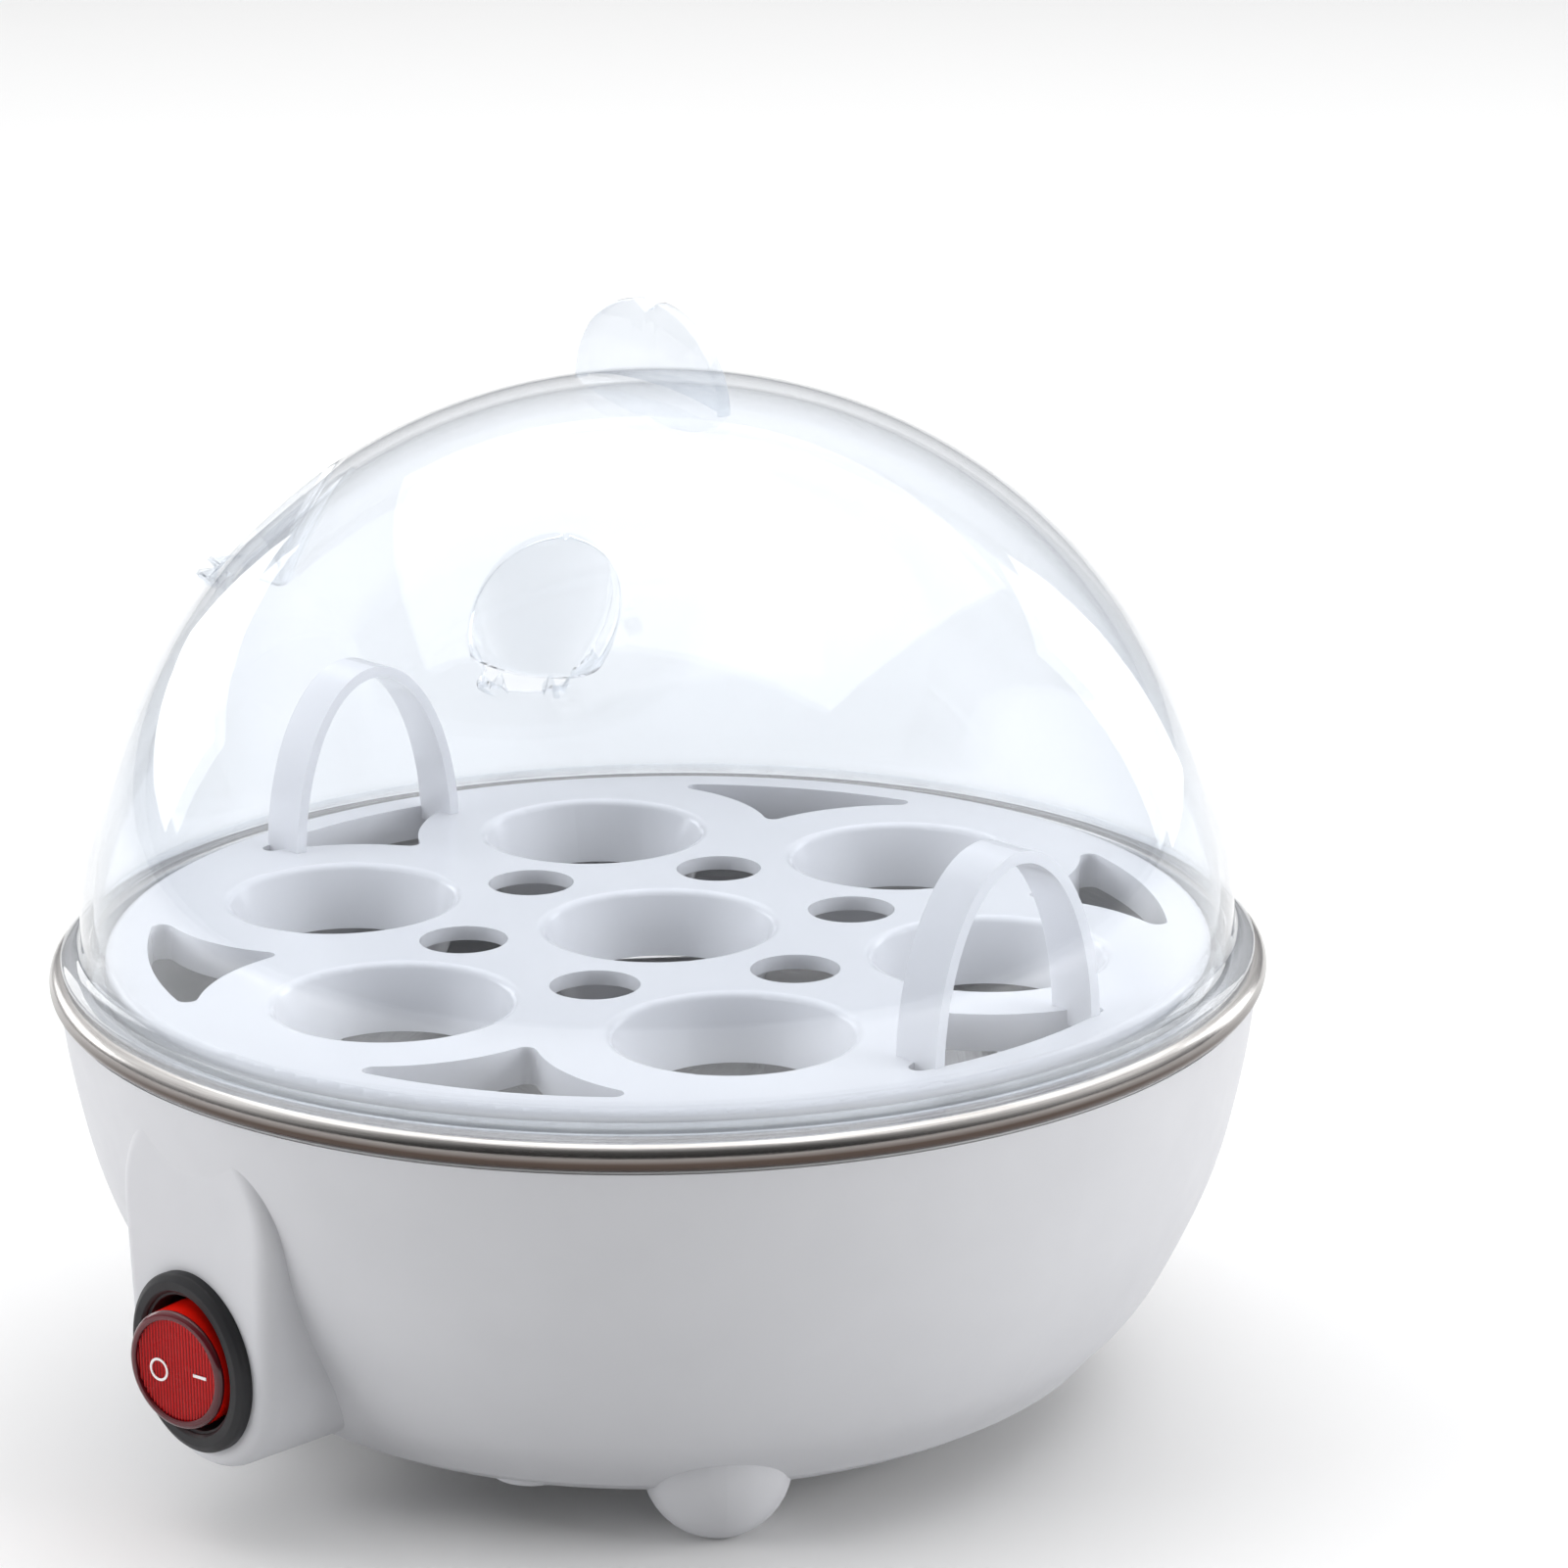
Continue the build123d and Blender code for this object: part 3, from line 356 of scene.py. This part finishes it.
def rounded(corners, steps=6):
    """Open run of corners (r, z, fillet radius) with each corner rounded by an arc."""
    out = []
    for i, (r, z, f) in enumerate(corners):
        if f == 0 or i in (0, len(corners) - 1):
            out.append((r, z))
            continue
        here = Vector((r, z))
        a = (Vector(corners[i - 1][:2]) - here).normalized()
        b = (Vector(corners[i + 1][:2]) - here).normalized()
        half = acos(max(-1, min(1, a.dot(b)))) / 2
        reach = f / max(1e-6, sin(half) / cos(half))
        middle = here + (a + b).normalized() * (f / sin(half))
        start, stop = here + a * reach, here + b * reach
        for k in range(steps + 1):
            t = k / steps
            spoke = ((start - middle) * (1 - t) + (stop - middle) * t).normalized() * f
            out.append(tuple(middle + spoke))
    return out


def outwards(path, amount):
    """The open path moved sideways by an amount, to its left."""
    out = []
    for i, p in enumerate(path):
        a = Vector(path[max(0, i - 1)])
        b = Vector(path[min(len(path) - 1, i + 1)])
        d = (b - a).normalized()
        out.append((p[0] - d.y * amount, p[1] + d.x * amount))
    return out


# ---- steel pan ----------------------------------------------------------------------
PAN_FLOOR, PAN_WALL, GROOVE_DEPTH = 44.0, 0.7, 0.8
SHOULDER_Z = 58.9                                # flat step inside the rim
RIM_R, RIM_TOP, RIM_FOOT, RIM_EDGE_R = 82.5, 62.3, 58.5, 79.9


def build_pan():
    """Pressed sheet: grooved floor, sloping wall, flat shoulder and turned-down rim."""
    groove = PAN_FLOOR - GROOVE_DEPTH
    upper = [(0.0, PAN_FLOOR), (20.0, PAN_FLOOR), (44.0, PAN_FLOOR)]
    upper += rounded([(44, PAN_FLOOR, 0), (46, PAN_FLOOR, 0.8), (46.8, groove, 0.8),
                      (48.2, groove, 0.8), (49, PAN_FLOOR, 0.8), (50, PAN_FLOOR, 0)], 4)[1:]
    upper += rounded([(50, PAN_FLOOR, 0), (66, PAN_FLOOR, 7), (72.6, SHOULDER_Z, 1.5),
                      (77.3, SHOULDER_Z, 0.9), (77.5, RIM_TOP, 0.9), (RIM_R, RIM_TOP, 1.9),
                      (RIM_R, RIM_FOOT, 1.7), (RIM_EDGE_R, RIM_FOOT, 0)], 8)[1:]
    lower = [(max(0.0, r), z) for r, z in outwards(upper, -PAN_WALL)]
    lower[0] = (0.0, PAN_FLOOR - PAN_WALL)
    lower[-1] = (RIM_EDGE_R, RIM_FOOT + PAN_WALL)
    return lathe(upper + lower[::-1], 360, False)


mesh_object("steel_pan", *build_pan(), steel, "base", "heating_pan", 40)


# ---- lid ----------------------------------------------------------------------------
DOME_R, DOME_Z, DOME_H = 78.1, 66.9, 72.45       # radius and height of the foot, and rise
DOME_P, DOME_Q = 2 / 2.097, 2 / 1.809            # powers of the dome's outline
FLANGE = [(80.4, 62.65), (80.8, 62.9), (80.9, 63.3), (80.7, 63.75), (79.4, 64.25), (78.5, 64.7),
          (78.15, 65.5)]
LID_WALL = 1.8
LID_TURN = radians(-97.5)                        # the way the crest's flat side faces
SCOOP_Z, SCOOP_SIDE = 121.0, radians(40.2)       # height, and turn to each side
SCOOP_LONG, SCOOP_HALF = 11.6, 8.7               # half-lengths down the slope and across it
SCOOP_DEPTH, SCOOP_END = 7.0, 6.0                # depth at the lower end, and its place
MOUTH_HALF, MOUTH_DROP = 5.4, 0.5                # squared lower edge of the opening
SCOOP_ROUND = 0.7                                # power of its section, 0.5 for an ellipse
CUT_SPREAD, RING_SPREADS = 1.24, (1.16, 1.08, 1.0)    # hole in the skin, and rings leading in
HOOD_SHADE_SPREAD = 1.02                               # a scoop's faces inside this take a darker, hazier copy of the clear: painted shade
CUT_REACH, EDGE_REACH, HOOD_SHADE_REACH = 15.5, 19, 15      # distances searched from its centre
COUNT = 96                                       # points round a scoop's edge


def dome(t):
    """Point (radius, height) of the outer dome, t from 0 at its foot to 90 at its top."""
    return (DOME_R * max(cos(radians(t)), 0) ** DOME_P,
            DOME_Z + DOME_H * sin(radians(t)) ** DOME_Q)


def dome_height(x, y):
    """Height of the outer dome over a point."""
    c = min(1.0, (hypot(x, y) / DOME_R) ** (1 / DOME_P))
    return DOME_Z + DOME_H * sqrt(max(0.0, 1 - c * c)) ** DOME_Q


def scoop_place(side):
    """Centre of a scoop, with the directions down the slope, across it and out of the dome."""
    t = degrees(asin(((SCOOP_Z - DOME_Z) / DOME_H) ** (1 / DOME_Q)))
    (r, z), low, high = dome(t), dome(t - 0.5), dome(t + 0.5)
    slope = Vector((low[0] - high[0], low[1] - high[1])).normalized()
    a = LID_TURN + side
    level = Vector((cos(a), sin(a), 0))
    down = level * slope.x + Vector((0, 0, slope.y))
    normal = level * -slope.y + Vector((0, 0, slope.x))
    return level * r + Vector((0, 0, z)), down, normal.cross(down), normal


def on_dome(scoop, u, v, lift=0.0):
    """Point of the outer dome at (down, across) from a scoop's centre, lifted off it."""
    centre, down, across, normal = scoop
    p = centre + down * u + across * v
    for _ in range(6):
        p -= normal * ((p.z - dome_height(p.x, p.y)) * 0.8)
    return p + normal * lift


def local(scoop, p):
    """A point's (down, across) from a scoop's centre."""
    d = p - scoop[0]
    return d.dot(scoop[1]), d.dot(scoop[2])


def spread(scoop, p):
    """How far out a point is from a scoop's centre, 1 on the scoop's edge."""
    u, v = local(scoop, p)
    return hypot(u / SCOOP_LONG, v / SCOOP_HALF)


def join(bm, a, b):
    """Faces between two closed rings of one count."""
    for k in range(len(a)):
        bm.faces.new((a[k], a[(k + 1) % len(a)], b[(k + 1) % len(a)], b[k]))


def dome_skin(bm, turns=288, steps=72):
    """Skin of the flange and the whole dome."""
    rings = []
    for r, z in FLANGE + [dome(90 * (k / steps)) for k in range(steps)]:
        rings.append([bm.verts.new((r * cos(2 * pi * k / turns), r * sin(2 * pi * k / turns), z))
                      for k in range(turns)])
    top = bm.verts.new((0, 0, DOME_Z + DOME_H))
    for a, b in zip(rings, rings[1:]):
        join(bm, a, b)
    for k in range(turns):
        bm.faces.new((rings[-1][k], rings[-1][(k + 1) % turns], top))


def open_skin(bm, scoop):
    """Cut the skin away round a scoop and lead it back in, to a ring along the scoop's edge."""
    near = [v for v in bm.verts
            if (v.co - scoop[0]).length < CUT_REACH and spread(scoop, v.co) < CUT_SPREAD]
    bmesh.ops.delete(bm, geom=near, context="VERTS")
    edge = [e for e in bm.edges
            if len(e.link_faces) == 1 and (e.verts[0].co - scoop[0]).length < EDGE_REACH]
    rings = []
    for scale in RING_SPREADS:
        ring = []
        for k in range(COUNT):
            a = 2 * pi * k / COUNT - pi
            u, v = SCOOP_LONG * scale * cos(a), SCOOP_HALF * scale * sin(a)
            if scale == 1.0 and u > 0 and abs(v) < MOUTH_HALF:
                u = SCOOP_LONG + MOUTH_DROP
            ring.append(bm.verts.new(on_dome(scoop, u, v)))
        rings.append(ring)
    zip_rings(bm, scoop, list({v for e in edge for v in e.verts}), rings[0])
    for a, b in zip(rings, rings[1:]):
        join(bm, a, b)
    return rings[-1]


def zip_rings(bm, scoop, outer, inner):
    """Triangles between two rings of different counts, both sorted by angle."""
    def angle(v):
        return atan2(*local(scoop, v.co)[::-1])
    a, b = sorted(outer, key=angle), sorted(inner, key=angle)
    i = j = 0
    while i < len(a) or j < len(b):
        next_a = angle(a[i + 1]) if i + 1 < len(a) else angle(a[0]) + 2 * pi
        next_b = angle(b[j + 1]) if j + 1 < len(b) else angle(b[0]) + 2 * pi
        va, vb = a[i % len(a)], b[j % len(b)]
        if j >= len(b) or (i < len(a) and next_a <= next_b):
            bm.faces.new((va, a[(i + 1) % len(a)], vb))
            i += 1
        else:
            bm.faces.new((va, b[(j + 1) % len(b)], vb))
            j += 1


def add_scoop(bm, scoop, seam):
    """Conical scoop sunk into the dome from the seam's upper end, open at its lower end."""
    columns = 24
    last = [seam[0]] * (columns + 1)
    for i in range(1, COUNT // 2):
        a = 2 * pi * i / COUNT
        u, half = -SCOOP_LONG * cos(a), SCOOP_HALF * sin(a)
        if u > SCOOP_END:
            break
        deep = SCOOP_DEPTH * (u + SCOOP_LONG) / (SCOOP_END + SCOOP_LONG)
        row = [seam[i]]
        for c in range(1, columns):
            v = -half + 2 * half * c / columns
            row.append(bm.verts.new(on_dome(scoop, u, v, -deep * (1 - (v / half) ** 2) ** SCOOP_ROUND)))
        row.append(seam[COUNT - i])
        for c in range(columns):
            loop = [last[c], last[c + 1], row[c + 1], row[c]]
            loop = [x for k, x in enumerate(loop) if x is not loop[k - 1]]
            if len(loop) > 2:
                bm.faces.new(loop)
        last = row


def build_lid():
    """Skin of the dome and flange with its two scoops, before it is given a wall."""
    bm = bmesh.new()
    dome_skin(bm)
    scoops = [scoop_place(s) for s in (-SCOOP_SIDE, SCOOP_SIDE)]
    for scoop in scoops:
        add_scoop(bm, scoop, open_skin(bm, scoop))
    bmesh.ops.recalc_face_normals(bm, faces=bm.faces)
    for face in bm.faces:
        middle = face.calc_center_median()
        # faces in the scoops get the painted-shade clear
        if any((middle - s[0]).length < HOOD_SHADE_REACH and spread(s, middle) < HOOD_SHADE_SPREAD
               for s in scoops):
            face.material_index = 1
    for v in bm.verts:
        v.co *= MM
    data = bpy.data.meshes.new("lid_shell")
    bm.to_mesh(data)
    bm.free()
    return data


lid = dress("lid_shell", build_lid(), clear_lid, "lid", "lid", 50, (shaded_clear_hood,))
wall = lid.modifiers.new("wall", "SOLIDIFY")
wall.thickness = LID_WALL * MM
wall.offset = -1.0
wall.use_even_offset = False
wall.use_rim = True

# ---- crest and spigot of the lid ----------------------------------------------------
CREST_HALF, CREST_Z, CREST_RISE = 17.0, 137.0, 13.0
NOTCH_HALF, NOTCH_DEPTH, FOOT_SINK = 2.6, 1.5, 0.15
CREST_LAYERS = ((0.35, -1.0), (0.1, -0.9), (0.0, -0.65), (0.0, 0.65), (0.1, 0.9), (0.35, 1.0))


def crest_outline(inset):
    """Half oval with a notch in its top, as (along, height)."""
    out = []
    for k in range(121):
        a = pi * k / 120
        x, z = (CREST_HALF - inset) * cos(a), CREST_Z + (CREST_RISE - inset) * sin(a)
        out.append((x, z - NOTCH_DEPTH * max(0.0, 1 - abs(x) / NOTCH_HALF)))
    return out


def build_crest():
    """Thin upright plate with rounded edges, its foot following the dome."""
    along = Vector((-sin(LID_TURN), cos(LID_TURN), 0))
    across = Vector((cos(LID_TURN), sin(LID_TURN), 0))
    points, faces = [], []

    def add_row(spots, offset):
        row = list(range(len(points), len(points) + len(spots)))
        points.extend(tuple(along * x + across * offset + Vector((0, 0, z))) for x, z in spots)
        return row

    rows = [add_row(crest_outline(inset), offset) for inset, offset in CREST_LAYERS]
    foot = [add_row([(x, dome_height(x, 0) - FOOT_SINK) for x, _ in crest_outline(0.35)], offset)
            for offset in (-1.0, 1.0)]
    pairs = list(zip(rows, rows[1:])) + [(rows[0], foot[0]), (rows[-1], foot[1]), tuple(foot)]
    for a, b in pairs:
        faces += [(a[k], a[k + 1], b[k + 1], b[k]) for k in range(len(a) - 1)]
    for end in (0, -1):
        faces.append([row[end] for row in rows] + [foot[1][end], foot[0][end]])
    return points, faces


crest = mesh_object("lid_crest", *build_crest(), clear_detail, "lid", None, 40)

# ring under the flange, which drops inside the pan's rim
SPIGOT_IN, SPIGOT_OUT, SPIGOT_LOW, SPIGOT_TOP = 75.6, 77.0, 60.0, 62.6
spigot = rounded([(SPIGOT_IN, SPIGOT_TOP, 0), (SPIGOT_IN, SPIGOT_LOW, 0.6),
                  (SPIGOT_OUT, SPIGOT_LOW, 0.6), (SPIGOT_OUT, SPIGOT_TOP, 0)], 5)
ring = mesh_object("lid_spigot", *lathe(spigot, 288, True), clear_lid, "lid", None, 40)


# ---- switch -------------------------------------------------------------------------
SWITCH_Z, PANEL_Y, PIVOT_Y = 23.4, -80.0, -79.3
TILT = radians(11)                               # the rocker's turn at rest
FACE_IN, FACE_R = 6.75, 7.9                      # recessed face and outside of the rocker
FACE_Z, BORDER_Z = 4.4, 4.9                      # heights above the pivot
OUTWARD = Matrix(((1, 0, 0, 0), (0, 0, -1, 0), (0, 1, 0, 0), (0, 0, 0, 1)))
FRONT = Matrix.Translation((0, PANEL_Y, SWITCH_Z)) @ OUTWARD
ROCKER = Matrix.Translation((0, PIVOT_Y, SWITCH_Z)) @ Matrix.Rotation(TILT, 4, "Z") @ OUTWARD
TO_FACE = ROCKER.inverted()


def placed(matrix, points):
    return [tuple(matrix @ Vector(p)) for p in points]


def turned(matrix, profile, turns=160):
    """Profile turned round its own axis and put in place."""
    points, faces = lathe(profile, turns, False)
    return placed(matrix, points), faces


def on_face(face):
    """Centre of a face in the rocker's own frame."""
    return TO_FACE @ (face.center / MM)


def build_ribs(radius=6.8, pitch=0.52, depth=0.11):
    """Face of the rocker, moulded with fine upright ribs."""
    points, faces = [], []
    count = int(2 * radius / pitch) * 4
    for i in range(count + 1):
        x = -radius + 2 * radius * i / count
        half = sqrt(max(0.02, radius ** 2 - x * x))
        z = FACE_Z + depth * cos(2 * pi * x / pitch)
        points += [(x, -half, z), (x, half, z)]
        if i:
            faces.append((2 * i - 2, 2 * i, 2 * i + 1, 2 * i - 1))
    return placed(ROCKER, points), faces


# The rocker is one red moulding; these copies paint light and shade onto it: a darker red border
# (painted shade), a brighter red outer wall (painted light) and darker red rib valleys (painted shade
# in the grooves).
shaded_border_red = moulded("rocker_border_painted_shade", (0.11, 0.006, 0.012), (0.07, 0.004, 0.008), (0.1, 0.2), 400.0,
                     0.00002, coat=0.3, specular=0.4)
lit_side_red = moulded("rocker_side_painted_light", (0.95, 0.012, 0.004), (0.8, 0.008, 0.003), (0.12, 0.25), 400.0,
                   0.00002, coat=0.2, specular=0.3)
shaded_groove_red = moulded("rocker_groove_painted_shade", (0.3, 0.004, 0.006), (0.22, 0.003, 0.004), (0.2, 0.35), 400.0,
                     0.00002, specular=0.2)
marks_white = moulded("mark_white", (0.86, 0.84, 0.84), (0.78, 0.76, 0.76), (0.3, 0.4))

body_profile = rounded([(8.95, -9.9, 0), (8.95, 1.2, 0.15), (9.35, 1.2, 0.1), (9.35, 1.5, 0.1),
                        (9.7, 1.9, 0.25), (10.9, 1.9, 0.5), (11.9, 1.3, 0.6), (11.9, 0.0, 0.1),
                        (9.8, 0.0, 0.1), (9.8, -14.0, 0.4), (0, -14.0, 0)], 5)
mesh_object("switch_bezel", *turned(FRONT, body_profile + [(0, -10.0), (8.95, -10.0)]), black,
            "base", "switch_body", 35)

shell_profile = rounded([(FACE_IN, 4.2, 0), (FACE_IN, BORDER_Z, 0.2), (FACE_R, BORDER_Z, 0.75),
                         (FACE_R, -2.0, 0.15), (6.9, -2.0, 0.15), (6.9, 3.1, 0.3),
                         (3.2, 3.1, 0.2), (3.2, -4.0, 0.15), (2.35, -4.0, 0.15),
                         (2.35, 0.1, 0.1), (0, 0.1, 0)], 6)
rocker = mesh_object("rocker_shell", *turned(ROCKER, shell_profile + [(0, 4.2)]), red_clear,
                     "rocker", "switch_rocker", 35, (shaded_border_red, lit_side_red))
# painted shade on the raised border, painted light on the outer wall
for face in rocker.data.polygons:
    spot = on_face(face)
    if spot.z > 3.9 and hypot(spot.x, spot.y) > FACE_IN - 0.01:
        face.material_index = 1
    elif hypot(spot.x, spot.y) > 7.0:
        face.material_index = 2

ribs = mesh_object("rocker_ribs", *build_ribs(), red_clear, "rocker", None, 0, (shaded_groove_red,))
# rib valleys take the darker red: painted shade in the grooves
for face in ribs.data.polygons:
    face.material_index = 1 if on_face(face).z < FACE_Z else 0

# the two switch marks: a ring for off and a bar for on
MARK_LOW, MARK_TOP, RING_IN, RING_OUT = 4.45, 4.56, 1.22, 1.55
ring_points, ring_faces = lathe([(RING_IN, MARK_LOW), (RING_IN, MARK_TOP), (RING_OUT, MARK_TOP),
                                 (RING_OUT, MARK_LOW)], 64)
ring_mark = mesh_object("mark_off", placed(ROCKER @ Matrix.Translation((-3.0, -0.6, 0)),
                                           ring_points), ring_faces, marks_white, "rocker",
                        None, 35)
bar = [(x, y, z) for x in (2.9, 5.1) for y in (-0.2, 0.2) for z in (MARK_LOW, MARK_TOP)]
bar_faces = [(0, 1, 3, 2), (4, 6, 7, 5), (0, 4, 5, 1), (2, 3, 7, 6), (0, 2, 6, 4), (1, 5, 7, 3)]
bar_mark = mesh_object("mark_on", placed(ROCKER, bar), bar_faces, marks_white, "rocker", None,
                       35)


# ---- stage, light and camera --------------------------------------------------------
def build_floor():
    bpy.ops.mesh.primitive_plane_add(size=12, location=(0, 0, -0.0002))
    floor = bpy.context.object
    floor.name = "stage_floor"
    n = Nodes("stage_floor_pale")
    shade = n.add("BsdfPrincipled")
    n.put(shade.inputs["Base Color"], n.blend(n.noise(3.0), rgb(0.83, 0.83, 0.83),
                                              rgb(0.845, 0.845, 0.845)))
    shade.inputs["Roughness"].default_value = 1.0
    shade.inputs["Specular IOR Level"].default_value = 0.0
    cover(floor, n.finish(shade.outputs[0]))


def build_world():
    """Room dark grey at the horizon, white from 30 degrees up and dim on the camera's side."""
    world = bpy.data.worlds.new("studio")
    scene.world = world
    world.use_nodes = True
    tree = world.node_tree
    tree.nodes.clear()
    coord = tree.nodes.new("ShaderNodeTexCoord")
    split = tree.nodes.new("ShaderNodeSeparateXYZ")
    tree.links.new(coord.outputs["Generated"], split.inputs[0])
    ramp = tree.nodes.new("ShaderNodeValToRGB")
    tree.links.new(split.outputs[2], ramp.inputs[0])
    ramp.color_ramp.elements[0].position = 0.0
    ramp.color_ramp.elements[0].color = (0.14, 0.14, 0.15, 1)
    ramp.color_ramp.elements[1].position = 0.5
    ramp.color_ramp.elements[1].color = (1.0, 1.0, 1.0, 1)
    facing = tree.nodes.new("ShaderNodeVectorMath")
    facing.operation = "DOT_PRODUCT"
    tree.links.new(coord.outputs["Generated"], facing.inputs[0])
    facing.inputs[1].default_value = (0.7, -0.7, 0.1)
    dim = tree.nodes.new("ShaderNodeMapRange")
    for key, number in (("From Min", -0.1), ("From Max", 0.75), ("To Min", 1.15), ("To Max", 0.1)):
        dim.inputs[key].default_value = number
    tree.links.new(facing.outputs["Value"], dim.inputs["Value"])
    back = tree.nodes.new("ShaderNodeBackground")
    tree.links.new(dim.outputs["Result"], back.inputs["Strength"])
    tree.links.new(ramp.outputs[0], back.inputs[0])
    end = tree.nodes.new("ShaderNodeOutputWorld")
    tree.links.new(back.outputs[0], end.inputs[0])


def lamp(name, place, aim, size, power, diffuse=True, gloss=True):
    """Soft box; it can be made to show in reflections alone, or in none."""
    data = bpy.data.lights.new(name, "AREA")
    data.shape = "RECTANGLE"
    data.size, data.size_y = size
    data.energy = power
    obj = bpy.data.objects.new(name, data)
    scene.collection.objects.link(obj)
    obj.location = place
    obj.rotation_euler = (Vector(aim) - Vector(place)).to_track_quat("-Z", "Y").to_euler()
    obj.visible_camera = False
    obj.visible_diffuse = diffuse
    obj.visible_glossy = gloss


def build_camera(eye, aim, lens, roll):
    data = bpy.data.cameras.new("camera")
    data.sensor_width = 36.0
    data.lens = lens
    data.clip_start = 0.01
    obj = bpy.data.objects.new("camera", data)
    scene.collection.objects.link(obj)
    obj.location = eye
    turn = (Vector(aim) - obj.location).to_track_quat("-Z", "Y").to_matrix()
    obj.rotation_euler = (turn @ Matrix.Rotation(radians(roll), 3, "Z")).to_euler()
    scene.camera = obj


build_floor()
build_world()
lamp("key", (-0.35, 0.45, 1.6), (-0.1, 0.1, 0.0), (2.6, 2.2), 19)
lamp("side", (1.3, 0.75, 0.5), (0, 0, 0.06), (1.0, 0.7), 13, gloss=False)
lamp("rear", (-0.75, -1.3, 0.5), (0, 0, 0.06), (1.0, 0.7), 12, gloss=False)
lamp("gloss_top", (0.1, -0.05, 1.3), (0, 0, 0.1), (1.1, 0.8), 1.4, diffuse=False)
lamp("gloss_right", (0.05, 1.45, 0.4), (0, 0, 0.1), (0.45, 0.75), 2.5, diffuse=False)
lamp("gloss_left", (-1.45, -0.15, 0.37), (0, 0, 0.1), (0.9, 0.35), 2.5, diffuse=False)
build_camera(eye=(0.45263, -0.40116, 0.25716), aim=(0.01174, 0.01251, 0.08359), lens=106.76,
             roll=-0.41)
scene.view_settings.view_transform = "Standard"
